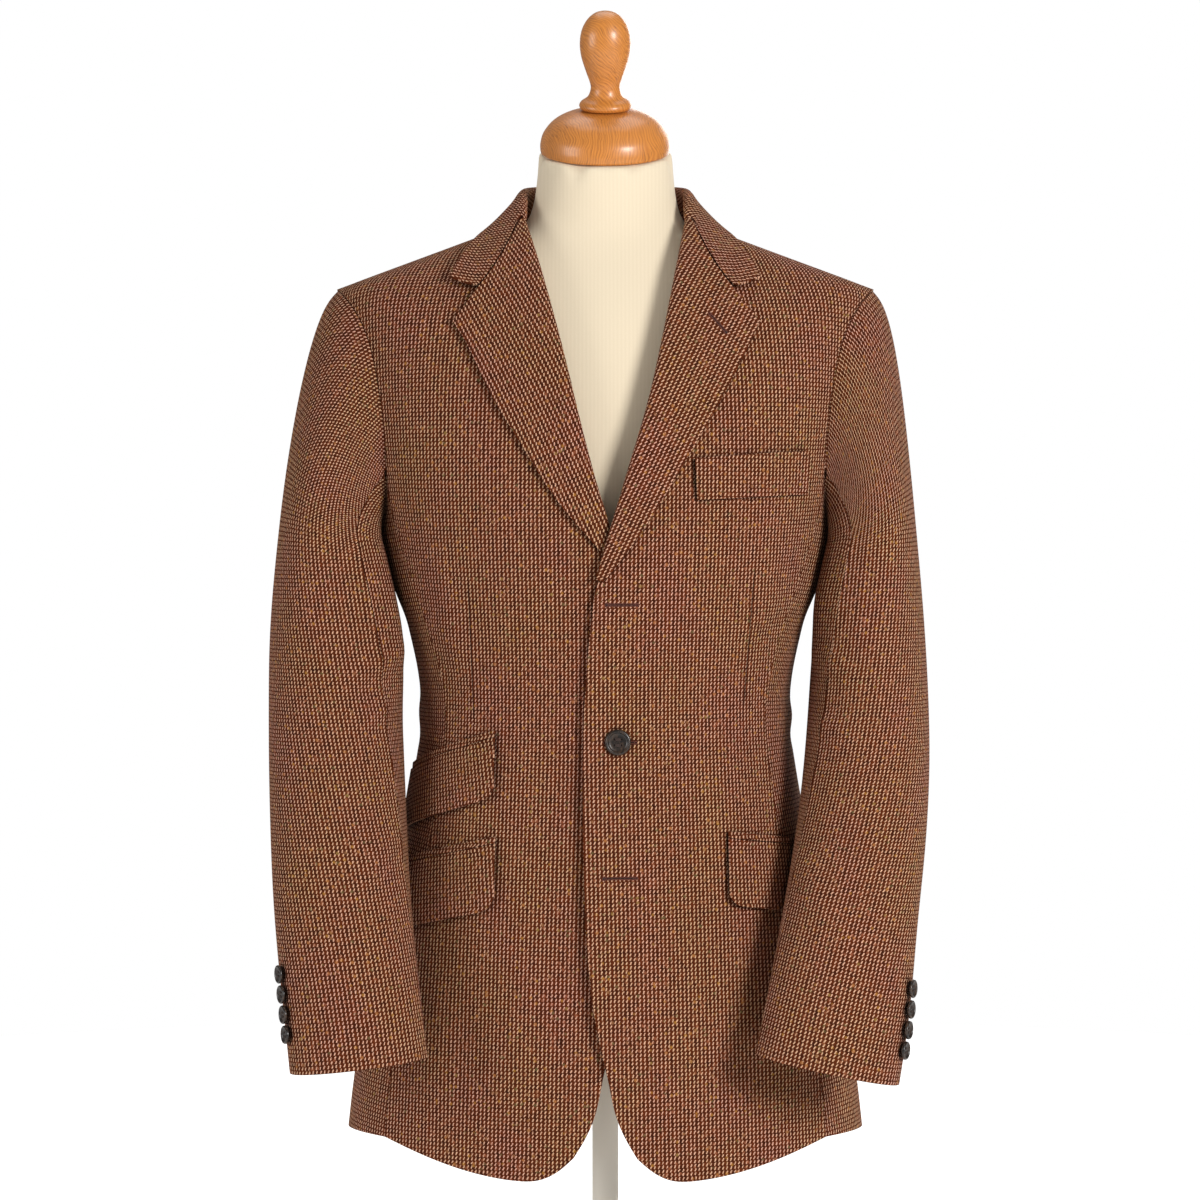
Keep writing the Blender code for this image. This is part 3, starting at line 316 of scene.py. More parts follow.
def makeHorn():
    material, tree, shader = startMaterial("polished_horn", Roughness=0.32, IOR=1.54)
    lay = addNode(tree, "ShaderNodeMapping", {"Vector": objectSpot(tree), "Scale": horn["streakLength"]})
    streak = noise(tree, lay.outputs[0], 1000 / horn["streakMm"], 4.0, Distortion=0.8).outputs["Fac"]
    tone = mixColours(tree, mapRange(tree, streak, *horn["streakSpan"]), horn["dark"], horn["streak"])
    tree.links.new(tone, shader.inputs["Base Color"])
    tree.links.new(mapRange(tree, streak, 0.0, 1.0, *horn["roughness"]), shader.inputs["Roughness"])
    return material


# twisted sewing thread: waxed linen, dull, with the twist drawn at half a millimetre so that it shows
thread = {"stitch": ("#451D15", "#733A2B"), "slit": ("#120A07", "#22130C"), "button": ("#1C1310", "#43312A"),
          "twistMm": 0.5, "reliefMm": 0.2}


def makeThread(name, colours):
    material, tree, shader = startMaterial(name, Roughness=0.8)
    twist = noise(tree, objectSpot(tree), 1000 / thread["twistMm"]).outputs["Fac"]
    tree.links.new(mixColours(tree, twist, *colours), shader.inputs["Base Color"])
    roughen(tree, shader, twist, 0.4, thread["reliefMm"] / 1000)
    return material


# stove enamel on steel: cream, satin, with a faint orange peel
enamel = {"pale": "#EEEAE0", "shade": "#E2DCCF", "peelMm": 1.8, "clouds": 9.0, "reliefMm": 0.2,
          "roughness": (0.45, 0.6)}


def makeEnamel():
    material, tree, shader = startMaterial("stoved_cream_enamel", Roughness=0.5, IOR=1.5)
    spot = objectSpot(tree)
    peel = noise(tree, spot, 1000 / enamel["peelMm"], 1.0).outputs["Fac"]
    cloud = noise(tree, spot, enamel["clouds"], 3.0).outputs["Fac"]
    tree.links.new(mixColours(tree, cloud, enamel["shade"], enamel["pale"]), shader.inputs["Base Color"])
    tree.links.new(mapRange(tree, cloud, 0.0, 1.0, *enamel["roughness"]), shader.inputs["Roughness"])
    roughen(tree, shader, peel, 0.06, enamel["reliefMm"] / 1000)
    return material


tweedCloth = makeTweed()
beech = makeWood()
coverJersey = makeJersey()
buttonHorn = makeHorn()
stitchThread = makeThread("twisted_linen_thread", thread["stitch"])
buttonThread = makeThread("waxed_button_thread", thread["button"])
# near-black beads laid in each buttonhole's cut: painted shade, made with the thread's shader
slitShade = makeThread("painted_shade_in_buttonhole_cut", thread["slit"])
creamEnamel = makeEnamel()
print("materials ready")


# jacket cloth: each shell is the outer face of its solid, smoothed, laid in folds and given a wall
cloth = {"wall": 0.0022, "edge": 0.0007, "rimReach": 1.6, "facing": -0.8, "sharp": math.radians(60),
         "skin": 1e-5, "seam": 0.0004, "drawn": 0.1, "fan": 2.2}
weld = 1e-6  # corners closer than this are one


def mergedCopy(nodeName):
    bm = bmesh.new()
    bm.from_mesh(nodes[nodeName].data)
    bmesh.ops.remove_doubles(bm, verts=bm.verts[:], dist=weld)
    bm.normal_update()
    return bm


def outerSheet(nodeName, folded):
    bm = mergedCopy(nodeName)
    tree = BVHTree.FromBMesh(bm)
    sheet = set()
    for face in bm.faces:
        below = face.calc_center_median() - face.normal * cloth["skin"]
        hit, normal, _, reach = tree.ray_cast(below, -face.normal)
        thin = hit is not None and reach < cloth["rimReach"] * cloth["wall"]
        if thin and normal.dot(face.normal) < cloth["facing"]:
            sheet.add(face)

    def flatBeside(face):
        return [g for e in face.edges for g in e.link_faces
                if g is not face and e.calc_face_angle() < cloth["sharp"]]
    sheet = {face for face in sheet if any(g in sheet for g in flatBeside(face))}
    grown = folded
    while grown:  # at a tight fold some faces look like an edge, and come back from their neighbours
        found = {face for face in bm.faces
                 if face not in sheet and sum(g in sheet for g in flatBeside(face)) > 1}
        sheet |= found
        grown = bool(found)
    bmesh.ops.delete(bm, geom=[face for face in bm.faces if face not in sheet], context="FACES")
    islands = []
    left = set(bm.faces)
    while left:
        stack = [left.pop()]
        island = []
        while stack:
            face = stack.pop()
            island.append(face)
            beside = {g for e in face.edges for g in e.link_faces if g in left}
            left -= beside
            stack += beside
        islands.append(island)
    islands.sort(key=lambda faces: -sum(face.calc_area() for face in faces))
    bmesh.ops.delete(bm, geom=[face for island in islands[1:] for face in island], context="FACES")
    bmesh.ops.delete(bm, geom=[v for v in bm.verts if not v.link_faces], context="VERTS")
    return bm


# a shell's triangles come in pairs laid out as a grid: their diagonals are found by walking from a corner
def joinPairs(bm):
    corner = next(v for v in bm.verts if len(v.link_faces) == 1)
    first = corner.link_faces[0]
    diagonals = []
    done = set()

    def pair(face, edge):
        other = [g for g in edge.link_faces if g is not face]
        if other and face not in done and other[0] not in done:
            done.update((face, other[0]))
            diagonals.append(edge)
    pair(first, next(e for e in first.edges if corner not in e.verts))
    for edge in diagonals:
        for face in edge.link_faces:
            for side in face.edges:
                ahead = [g for g in side.link_faces if g is not face]
                if side is edge or not ahead or ahead[0] in done:
                    continue
                free = next(v for v in side.verts if v not in edge.verts)
                far = next(v for v in ahead[0].verts if v not in side.verts)
                pair(ahead[0], next(d for d in ahead[0].edges if free in d.verts and far in d.verts))
    bmesh.ops.dissolve_edges(bm, edges=diagonals, use_verts=False)


def flatten(piece):
    bpy.context.view_layer.objects.active = piece
    piece.select_set(True)
    bpy.ops.object.mode_set(mode="EDIT")
    bpy.ops.mesh.select_all(action="SELECT")
    bpy.ops.uv.unwrap(method="ANGLE_BASED", margin=0.0)
    bpy.ops.object.mode_set(mode="OBJECT")
    piece.select_set(False)


def unwrapCloth(piece, grain):
    flatten(piece)
    mesh = piece.data
    mesh.uv_layers.active.name = "cloth"
    spots = [Vector(item.uv) for item in mesh.uv_layers["cloth"].data]
    places = [mesh.vertices[loop.vertex_index].co for loop in mesh.loops]
    middle = sum(spots, Vector((0, 0))) / len(spots)
    # direction in the flat cut that runs along the grain, by least squares
    grain = Vector(grain).normalized()
    heights = [p.dot(grain) for p in places]
    mean = sum(heights) / len(heights)
    xx = sum((s.x - middle.x) ** 2 for s in spots)
    yy = sum((s.y - middle.y) ** 2 for s in spots)
    xy = sum((s.x - middle.x) * (s.y - middle.y) for s in spots)
    xh = sum((s.x - middle.x) * (h - mean) for s, h in zip(spots, heights))
    yh = sum((s.y - middle.y) * (h - mean) for s, h in zip(spots, heights))
    det = xx * yy - xy * xy
    up = Vector(((xh * yy - yh * xy) / det, (yh * xx - xh * xy) / det)).normalized()
    flat = 0.0
    for polygon in mesh.polygons:
        ring = [spots[i] for i in polygon.loop_indices]
        flat += abs(sum(a.x * b.y - b.x * a.y for a, b in zip(ring, ring[1:] + ring[:1]))) / 2
    scale = math.sqrt(sum(polygon.area for polygon in mesh.polygons) / flat)
    for item, spot in zip(mesh.uv_layers["cloth"].data, spots):
        offset = (spot - middle) * scale
        item.uv = (offset.x * up.y - offset.y * up.x, offset.dot(up))


# sleeves: the weave follows the length of the piece, so each corner of the grid gets a column and a row
def followRows(piece, grain):
    bm = bmesh.new()
    bm.from_mesh(piece.data)
    middle = sum((v.co for v in bm.verts), Vector()) / len(bm.verts)
    first = min((f for f in bm.faces if len(f.verts) == 4),
                key=lambda f: (f.calc_center_median() - middle).length)
    loops = list(first.loops)

    def climb(k):
        return (loops[(k + 1) % 4].vert.co - loops[k].vert.co).normalized().dot(Vector(grain))
    rise = max(range(4), key=climb)
    spots = {loops[(rise + k) % 4].vert: spot for k, spot in enumerate(((0, 0), (0, 1), (-1, 1), (-1, 0)))}
    queue = [first]
    done = {first}
    for face in queue:
        for loop in face.loops:
            ahead = loop.link_loop_radial_next.face
            if ahead in done or len(ahead.verts) != 4:
                continue
            done.add(ahead)
            queue.append(ahead)
            after = loop.link_loop_next
            ends = ((loop.vert, loop.link_loop_prev.vert), (after.vert, after.link_loop_next.vert))
            for near, behind in ends:
                onward = next(e.other_vert(near) for e in near.link_edges
                              if e in ahead.edges and e is not loop.edge)
                spots[onward] = tuple(2 * a - b for a, b in zip(spots[near], spots[behind]))
    places = {spot: vert.co for vert, spot in spots.items()}
    rows = sorted({spot[1] for spot in places})
    heights = {spot: 0.0 for spot in places if spot[1] == rows[0]}
    fanRow = rows[-1] + 1
    for low, high in zip(rows, rows[1:]):
        gaps = {i: (places[i, high] - places[i, low]).length
                for i, j in places if j == low and (i, high) in places}
        if max(gaps.values()) > cloth["fan"] * min(gaps.values()):
            fanRow = min(fanRow, high)  # from here up, round the sleeve head, the rows spread like a fan
        even = sum(gaps.values()) / len(gaps)
        for i in gaps:
            heights[i, high] = heights[i, low] + even
    across = {}
    for row in rows:
        columns = sorted(i for i, j in places if j == row)
        across[columns[0], row] = 0.0
        for i, after in zip(columns, columns[1:]):
            across[after, row] = across[i, row] + (places[after, row] - places[i, row]).length
        zero = across[min(columns, key=abs), row]
        for i in columns:
            across[i, row] -= zero
    layer = bm.loops.layers.uv.new("cloth")
    for face in bm.faces:
        for loop in face.loops:
            spot = spots[loop.vert]
            loop[layer].uv = (across[spot], heights[spot])
            loop[layer].pin_uv = spot[1] < fanRow
    bm.to_mesh(piece.data)
    bm.free()
    flatten(piece)  # the pinned rows stay, the sleeve head is laid out from them


def applyModifiers(piece):
    graph = bpy.context.evaluated_depsgraph_get()
    shaped = bpy.data.meshes.new_from_object(piece.evaluated_get(graph))
    piece.modifiers.clear()
    piece.data = shaped


def addSmoothing(piece, levels):
    modifier = piece.modifiers.new("smooth", "SUBSURF")
    modifier.levels = levels
    modifier.render_levels = levels
    return modifier


def smoothShell(piece, levels):
    addSmoothing(piece, levels).boundary_smooth = "PRESERVE_CORNERS"
    applyModifiers(piece)


# folds of the hanging cloth: side seen squarely, from and to as (across, z), width and height, in metres
sides = {"front": Vector((0, -1, 0)), "back": Vector((0, 1, 0)),
         "left": Vector((1, 0, 0)), "right": Vector((-1, 0, 0))}
folds = {
    "body_right": (
        ("front", (-0.1426, 0.613), (-0.110, 0.548), 0.012, 0.0024),
        ("front", (-0.147, 0.662), (-0.120, 0.581), 0.010, 0.0014),
        ("front", (-0.008, 0.492), (-0.080, 0.530), 0.010, 0.0011),
        ("front", (-0.134, 0.318), (-0.143, 0.184), 0.016, 0.0020),
        ("front", (-0.060, 0.345), (-0.070, 0.205), 0.020, 0.0013),
        ("right", (-0.02, 0.71), (-0.03, 0.585), 0.020, 0.0070),
        ("right", (0.075, 0.545), (-0.045, 0.505), 0.011, 0.0018),
        ("right", (0.030, 0.36), (0.040, 0.20), 0.018, 0.0018),
        ("back", (-0.115, 0.750), (-0.090, 0.580), 0.018, 0.0021),
        ("back", (-0.035, 0.500), (-0.125, 0.475), 0.011, 0.0016),
        ("back", (-0.085, 0.345), (-0.100, 0.190), 0.018, 0.0022),
        ("back", (-0.150, 0.640), (-0.118, 0.560), 0.011, 0.0018),
    ),
    "body_left": (
        ("front", (-0.009, 0.660), (-0.012, 0.120), 0.014, 0.0036),
        ("front", (0.157, 0.633), (0.1045, 0.581), 0.012, 0.0026),
        ("front", (0.149, 0.672), (0.123, 0.606), 0.010, 0.0013),
        ("front", (0.030, 0.489), (0.104, 0.521), 0.010, 0.0012),
        ("front", (0.141, 0.335), (0.157, 0.192), 0.018, 0.0020),
        ("front", (0.060, 0.345), (0.077, 0.185), 0.020, 0.0014),
        ("left", (-0.02, 0.71), (-0.03, 0.585), 0.020, 0.0075),
        ("left", (0.070, 0.530), (-0.050, 0.508), 0.010, 0.0020),
        ("left", (0.020, 0.35), (0.035, 0.19), 0.020, 0.0016),
        ("back", (0.122, 0.740), (0.085, 0.560), 0.016, 0.0024),
        ("back", (0.045, 0.520), (0.122, 0.488), 0.012, 0.0015),
        ("back", (0.100, 0.360), (0.116, 0.200), 0.020, 0.0020),
        ("back", (0.152, 0.655), (0.128, 0.570), 0.010, 0.0015),
    ),
    "sleeve_right": (
        ("front", (-0.160, 0.582), (-0.226, 0.540), 0.009, 0.0027),
        ("front", (-0.160, 0.534), (-0.212, 0.511), 0.008, 0.0018),
        ("front", (-0.191, 0.795), (-0.177, 0.655), 0.010, 0.0020),
        ("front", (-0.165, 0.440), (-0.208, 0.368), 0.012, 0.0017),
        ("back", (-0.185, 0.560), (-0.258, 0.604), 0.010, 0.0027),
        ("back", (-0.180, 0.505), (-0.250, 0.535), 0.009, 0.0020),
        ("back", (-0.200, 0.690), (-0.255, 0.640), 0.012, 0.0016),
        ("left", (-0.040, 0.745), (-0.055, 0.505), 0.026, 0.0115),
    ),
    "sleeve_left": (
        ("front", (0.163, 0.583), (0.224, 0.531), 0.010, 0.0025),
        ("front", (0.160, 0.517), (0.208, 0.502), 0.008, 0.0016),
        ("front", (0.189, 0.788), (0.173, 0.655), 0.010, 0.0018),
        ("front", (0.147, 0.415), (0.191, 0.343), 0.012, 0.0017),
        ("back", (0.182, 0.575), (0.252, 0.610), 0.011, 0.0025),
        ("back", (0.178, 0.515), (0.248, 0.538), 0.008, 0.0022),
        ("back", (0.196, 0.680), (0.250, 0.648), 0.011, 0.0018),
        ("right", (-0.040, 0.745), (-0.050, 0.545), 0.026, 0.0115),
    ),
}
foldShape = {"trough": 0.45, "troughAt": 1.7, "reach": 4, "taper": 0.4, "turnAway": 0.55}


# half width and half depth of what the cloth hangs round, and the height of one slice of a sleeve
cores = {"body": (0.19, 0.12), "sleeve": (0.05, 0.06), "slice": 0.03}


def awayFrom(core, spot):
    return Vector((spot.x / core[0] ** 2, spot.y / core[1] ** 2, 0)).normalized()


def roundOf(foldName):
    if not foldName.startswith("sleeve"):
        return lambda spot: awayFrom(cores["body"], spot)
    side = foldName.split("_")[1]
    points = [v.co.copy() for part in ("sleeve_top_", "sleeve_under_")
              for v in nodes[part + side].data.vertices]
    step = cores["slice"]

    def middleAt(level):
        ring = [q for q in points if abs(q.z - level * step) < step]
        xs = [q.x for q in ring]
        ys = [q.y for q in ring]
        return Vector(((min(xs) + max(xs)) / 2, (min(ys) + max(ys)) / 2, 0))
    low = int(min(q.z for q in points) / step)
    high = int(max(q.z for q in points) / step)
    middles = {level: middleAt(level) for level in range(low, high + 2)}

    def outward(spot):
        level = min(max(spot.z / step, low), high)
        middle = middles[int(level)].lerp(middles[int(level) + 1], level - int(level))
        return awayFrom(cores["sleeve"], spot - middle)
    return outward


def endTaper(t, taper):
    return ease(0, taper, t) * ease(1, 1 - taper, t)


def layFolds(mesh, foldName):
    outward = roundOf(foldName)
    starts = [vert.co.copy() for vert in mesh.vertices]
    normals = [outward(spot) for spot in starts]
    for sideName, first, last, width, height in folds[foldName]:
        facing = sides[sideName]
        level = Vector((1, 0, 0)) if facing.y else Vector((0, 1, 0))
        start = Vector(first)
        along = Vector(last) - start
        reach = along.length
        along.normalize()
        for vert, co, normal in zip(mesh.vertices, starts, normals):
            spot = Vector((co.dot(level), co.z)) - start
            t = spot.dot(along) / reach
            off = along.cross(spot) / width
            if 0 < t < 1 and abs(off) < foldShape["reach"]:
                seen = ease(0, foldShape["turnAway"], normal.dot(facing))
                trough = foldShape["trough"] * math.exp(-(off - foldShape["troughAt"]) ** 2)
                ridge = math.exp(-off * off) - trough
                vert.co += normal * (height * ridge * endTaper(t, foldShape["taper"]) * seen)


# darts down the fronts: each is a sewn line, kept as its distance in millimetres and how strongly it shows
darts = {"front_right": ((-0.1126, 0.637), (-0.1077, 0.512)),
         "front_left": ((0.1223, 0.645), (0.1126, 0.516)), "taper": 0.12}


def sewDart(mesh, first, last):
    start = Vector(first)
    along = Vector(last) - start
    reach = along.length
    along.normalize()
    sewn = mesh.attributes.new("sewn", "FLOAT_VECTOR", "POINT")
    for vert, item in zip(mesh.vertices, sewn.data):
        spot = Vector((vert.co.x, vert.co.z)) - start
        t = spot.dot(along) / reach
        item.vector = (along.cross(spot) * 1000, endTaper(t, darts["taper"]), 0.0)


# the sleeve's edge is turned in under the armhole seam, so no light shows between sleeve and body
lip = {"near": 0.0045, "seam": 0.0040, "inward": 0.0050, "down": 0.0012, "armhole": Vector((0, 0, 0.775))}


def turnLip(mesh, side, mateName):
    bodies = []
    for nodeName in ("front_" + side, "side_" + side, "back_" + side, mateName):
        bm = mergedCopy(nodeName)
        bodies.append(BVHTree.FromBMesh(bm))
        bm.free()
    mate = bodies.pop()  # the other piece of the same sleeve
    bm = bmesh.new()
    bm.from_mesh(mesh)
    close = {v for v in bm.verts
             if v.is_boundary and min(tree.find_nearest(v.co)[3] for tree in bodies) < lip["near"]}
    seam = {v for v in close if mate.find_nearest(v.co)[3] < lip["seam"]}
    rim = [e for e in bm.edges if e.is_boundary and close.issuperset(e.verts) and seam.isdisjoint(e.verts)]
    made = bmesh.ops.extrude_edge_only(bm, edges=rim)["geom"]
    turned = {v for v in made if isinstance(v, bmesh.types.BMVert)}
    layer = bm.loops.layers.uv["cloth"]
    for face in (f for f in made if isinstance(f, bmesh.types.BMFace)):
        root = next(e for e in face.edges if turned.isdisjoint(e.verts))
        inside = next(f for f in root.link_faces if f is not face)
        known = {loop.vert: loop[layer].uv.copy() for loop in inside.loops}
        ends = [known[v] for v in root.verts]
        middle = sum(known.values(), Vector((0, 0))) / len(known)
        onward = ((ends[0] + ends[1]) / 2 - middle).normalized() * lip["inward"]
        for loop in face.loops:
            beside = [e.other_vert(loop.vert) for e in loop.vert.link_edges]
            foot = loop.vert if loop.vert in known else next(v for v in beside if v in root.verts)
            loop[layer].uv = known[foot] + (onward if loop.vert in turned else Vector((0, 0)))
    for vert in turned:
        toMiddle = lip["armhole"] - vert.co
        toMiddle.x = 0
        inward = -lip["inward"] if side == "left" else lip["inward"]
        vert.co += Vector((inward, 0, 0)) + toMiddle.normalized() * lip["down"]
    bm.to_mesh(mesh)
    bm.free()


# grain of each pocket, which slopes down towards the side, and how far its pieces stand off the front
pockets = {"left": (0.13, 0, 1), "right": (-0.23, 0, 1), "ticket": (-0.30, 0, 1), "outside": (0.1, 0.7),
           "flapLift": 0.0036, "flapCurve": 0.7, "jetRoll": 0.0018, "weltLift": 0.0007, "weltCurve": 0.5}


# heightAt gives the lift of the outside by the share of the way up the piece
def raiseStrip(mesh, up, heightAt):
    rises = [vert.co.dot(up) for vert in mesh.vertices]
    low, high = min(rises), max(rises)
    lifts = [vert.normal * heightAt((rise - low) / (high - low)) * ease(*pockets["outside"], -vert.normal.y)
             for vert, rise in zip(mesh.vertices, rises)]
    for vert, lift in zip(mesh.vertices, lifts):
        vert.co += lift


# panels of one side share their folds, so that the seams between them stay shut
def foldNameOf(nodeName):
    part, _, side = nodeName.rpartition("_")
    if part in ("front", "side", "back"):
        return "body_" + side
    return "sleeve_" + side if part.startswith("sleeve") else None


def makeCloth(name, nodeName, held, grain=(0, 0, 1), levels=3, heightAt=None):
    foldName = foldNameOf(nodeName)
    inSleeve = nodeName.startswith("sleeve")
    bm = outerSheet(nodeName, held == "folded")
    joinPairs(bm)
    piece = showPiece(name, bm, tweedCloth)
    if inSleeve:
        followRows(piece, grain)
    else:
        unwrapCloth(piece, grain)
    smoothShell(piece, levels)
    if foldName:
        layFolds(piece.data, foldName)
    if heightAt:
        raiseStrip(piece.data, Vector(grain).normalized(), heightAt)
    if nodeName.startswith("back"):
        for vert in piece.data.vertices:  # the centre-back seam is drawn together
            if abs(vert.co.x) < cloth["seam"]:
                vert.co.x *= cloth["drawn"]
    if nodeName in darts:
        sewDart(piece.data, *darts[nodeName])
    if inSleeve:
        _, part, side = nodeName.split("_")
        mate = "under" if part == "top" else "top"
        turnLip(piece.data, side, "sleeve_{}_{}".format(mate, side))
    piece.data.shade_smooth()
    wall = piece.modifiers.new("wall", "SOLIDIFY")
    wall.thickness = cloth["wall"]
    wall.offset = -1.0
    wall.use_even_offset = True
    wall.use_quality_normals = True
    edge = piece.modifiers.new("soft_edge", "BEVEL")
    edge.width = cloth["edge"]
    edge.segments = 2
    edge.limit_method = "ANGLE"
    edge.angle_limit = cloth["sharp"]
    place(piece, "tweed", nodeName)
    return piece


# grain of each lapel facing, leaning out towards its side
lapelGrain = {"left": (0.42, 0.0, 0.91), "right": (-0.42, 0.0, 0.91)}

for side in ("left", "right"):
    makeCloth("front_panel_" + side, "front_" + side, "hung")
    makeCloth("side_panel_" + side, "side_" + side, "hung")
    makeCloth("back_panel_" + side, "back_" + side, "hung")
    makeCloth("lapel_facing_" + side, "lapel_" + side, "folded", lapelGrain[side], levels=2)
    makeCloth("sleeve_upper_" + side, "sleeve_top_" + side, "hung")
    makeCloth("sleeve_below_" + side, "sleeve_under_" + side, "hung")
makeCloth("turned_collar", "collar", "folded", levels=2)
makeCloth("breast_pocket_welt", "breast_welt", "laid",
          heightAt=lambda share: pockets["weltLift"] * share ** pockets["weltCurve"])
# a flap stands off at its free edge, and a jetting is a rounded roll
for pocket in ("left", "right", "ticket"):
    makeCloth("pocket_flap_" + pocket, "flap_" + pocket, "hung", pockets[pocket],
              heightAt=lambda share: pockets["flapLift"] * (1 - share) ** pockets["flapCurve"])
    makeCloth("pocket_jet_" + pocket, "jet_" + pocket, "laid", pockets[pocket],
              heightAt=lambda share: pockets["jetRoll"] * (1 - (2 * share - 1) ** 2))
print("cloth shells made")


# turned parts: profiles as (radius, height) in metres from the seat, sharp at the corners that are listed
lathe = {"steps": 96, "parts": 6, "sharp": math.radians(40)}
capSeat = Matrix.Translation((0, 0, 0.990)) @ Matrix.Rotation(math.radians(18), 4, "X")
turning = {
    "neck_cap_turned": {
        "node": "neck_cap", "slot": "beech", "material": beech,
        "seat": capSeat @ Matrix.Translation((0, 0, 0.0004)), "corners": (1,),
        "profile": ((0.0, 0.0), (0.0535, 0.0), (0.0547, 0.0020), (0.0547, 0.0085), (0.0520, 0.0170),
                    (0.0440, 0.0265), (0.0320, 0.0330), (0.0180, 0.0362), (0.0, 0.0370))},
    "neck_knob_turned": {
        "node": "neck_knob", "slot": "beech", "material": beech,
        "seat": capSeat @ Matrix.Translation((0, 0, 0.0378)), "corners": (1,),
        "profile": ((0.0, 0.0), (0.0205, 0.0), (0.0220, 0.0026), (0.0205, 0.0060), (0.0150, 0.0100),
                    (0.0125, 0.0160), (0.0128, 0.0215), (0.0165, 0.0320), (0.0202, 0.0440), (0.0214, 0.0550),
                    (0.0198, 0.0660), (0.0150, 0.0750), (0.0080, 0.0806), (0.0, 0.0823))},
    "stand_tube": {
        "node": "stand_pole", "slot": "enamel", "material": creamEnamel, "seat": Matrix.Identity(4),
        "profile": ((0.0, 0.0144), (0.0110, 0.0144), (0.0110, 0.2616), (0.0, 0.2616)), "corners": (1, 2)},
    "stand_foot": {
        "node": "stand_base", "slot": "enamel", "material": creamEnamel, "seat": Matrix.Identity(4),
        "profile": ((0.0, 0.0), (0.163, 0.0), (0.165, 0.002), (0.165, 0.010), (0.161, 0.014), (0.0, 0.014)),
        "corners": (1, 2, 3, 4)},
}


# a smooth curve runs through the points of the profile, and is then spun round
def turnProfile(line, corners, steps):
    bm = bmesh.new()
    points = []
    for i in range(len(line) - 1):
        before = line[i - 1] if i and i not in corners else line[i]
        after = line[i + 2] if i + 2 < len(line) and i + 1 not in corners else line[i + 1]
        parts = 1 if i in corners and i + 1 in corners else lathe["parts"]
        for k in range(parts):
            t = k / parts
            points.append(Vector([0.5 * (2 * b + (c - a) * t + (2 * a - 5 * b + 4 * c - d) * t * t
                                         + (3 * b - a - 3 * c + d) * t ** 3)
                                  for a, b, c, d in zip(before, line[i], line[i + 1], after)]))
    points.append(Vector(line[-1]))
    verts = [bm.verts.new((max(p.x, 0.0), 0.0, p.y)) for p in points]
    edges = [bm.edges.new(ends) for ends in zip(verts, verts[1:])]
    bmesh.ops.spin(bm, geom=verts + edges, cent=(0, 0, 0), axis=(0, 0, 1), angle=2 * math.pi, steps=steps,
                   use_merge=True)
    bmesh.ops.remove_doubles(bm, verts=bm.verts[:], dist=weld)
    bmesh.ops.recalc_face_normals(bm, faces=bm.faces[:])
    return bm


def makeTurned(name, facts):
    bm = turnProfile(facts["profile"], facts["corners"], lathe["steps"])
    bmesh.ops.transform(bm, verts=bm.verts[:], matrix=facts["seat"])
    piece = showPiece(name, bm, facts["material"])
    piece.data.set_sharp_from_angle(angle=lathe["sharp"])
    return place(piece, facts["slot"], facts["node"])


for name, facts in turning.items():
    makeTurned(name, facts)


formCover = {"bend": math.radians(40), "skew": math.radians(60), "levels": 2}


def makeFormCover():
    bm = mergedCopy("form_torso")
    bmesh.ops.join_triangles(bm, faces=bm.faces[:], angle_face_threshold=formCover["bend"],
                             angle_shape_threshold=formCover["skew"])
    piece = showPiece("form_cover_torso", bm, coverJersey)
    addSmoothing(piece, formCover["levels"])
    return place(piece, "form_cover", "form_torso")


makeFormCover()
print("form and stand made")


# four-hole buttons: a raised rim, a shallow dish and thread through the holes
# profile as shares of the button's radius and height, holes and strands as shares of the radius
button = {"profile": ((0.0, 0.0), (0.80, 0.0), (0.97, 0.26), (1.0, 0.55), (0.96, 0.86), (0.88, 1.0),
                      (0.79, 0.98), (0.69, 0.74), (0.54, 0.62), (0.0, 0.58)),
          "corners": (1,), "steps": 48, "sharp": math.radians(35), "facing": 0.9, "dish": 0.58,
          "hole": 0.105, "spread": 0.22, "strand": 0.055, "strandGap": 1.3, "strandRise": 1.1,
          "bed": 0.6, "barReach": 1.25,
          "front": (0, -1, 0), "left": (0.92, -0.39, 0), "right": (-0.92, -0.39, 0)}


def buttonSeat(nodeName, outward):
    bm = mergedCopy(nodeName)
    facing = [f for f in bm.faces if f.normal.dot(Vector(outward)) > button["facing"]]
    axis = sum((f.normal * f.calc_area() for f in facing), Vector()).normalized()
    middle = sum((v.co for v in bm.verts), Vector()) / len(bm.verts)
    rises = [(v.co - middle).dot(axis) for v in bm.verts]
    radius = max((v.co - middle - axis * rise).length for v, rise in zip(bm.verts, rises))
    bm.free()
    turn = axis.to_track_quat("Z", "Y").to_matrix().to_4x4()
    return Matrix.Translation(middle + axis * min(rises)) @ turn, radius, max(rises) - min(rises)


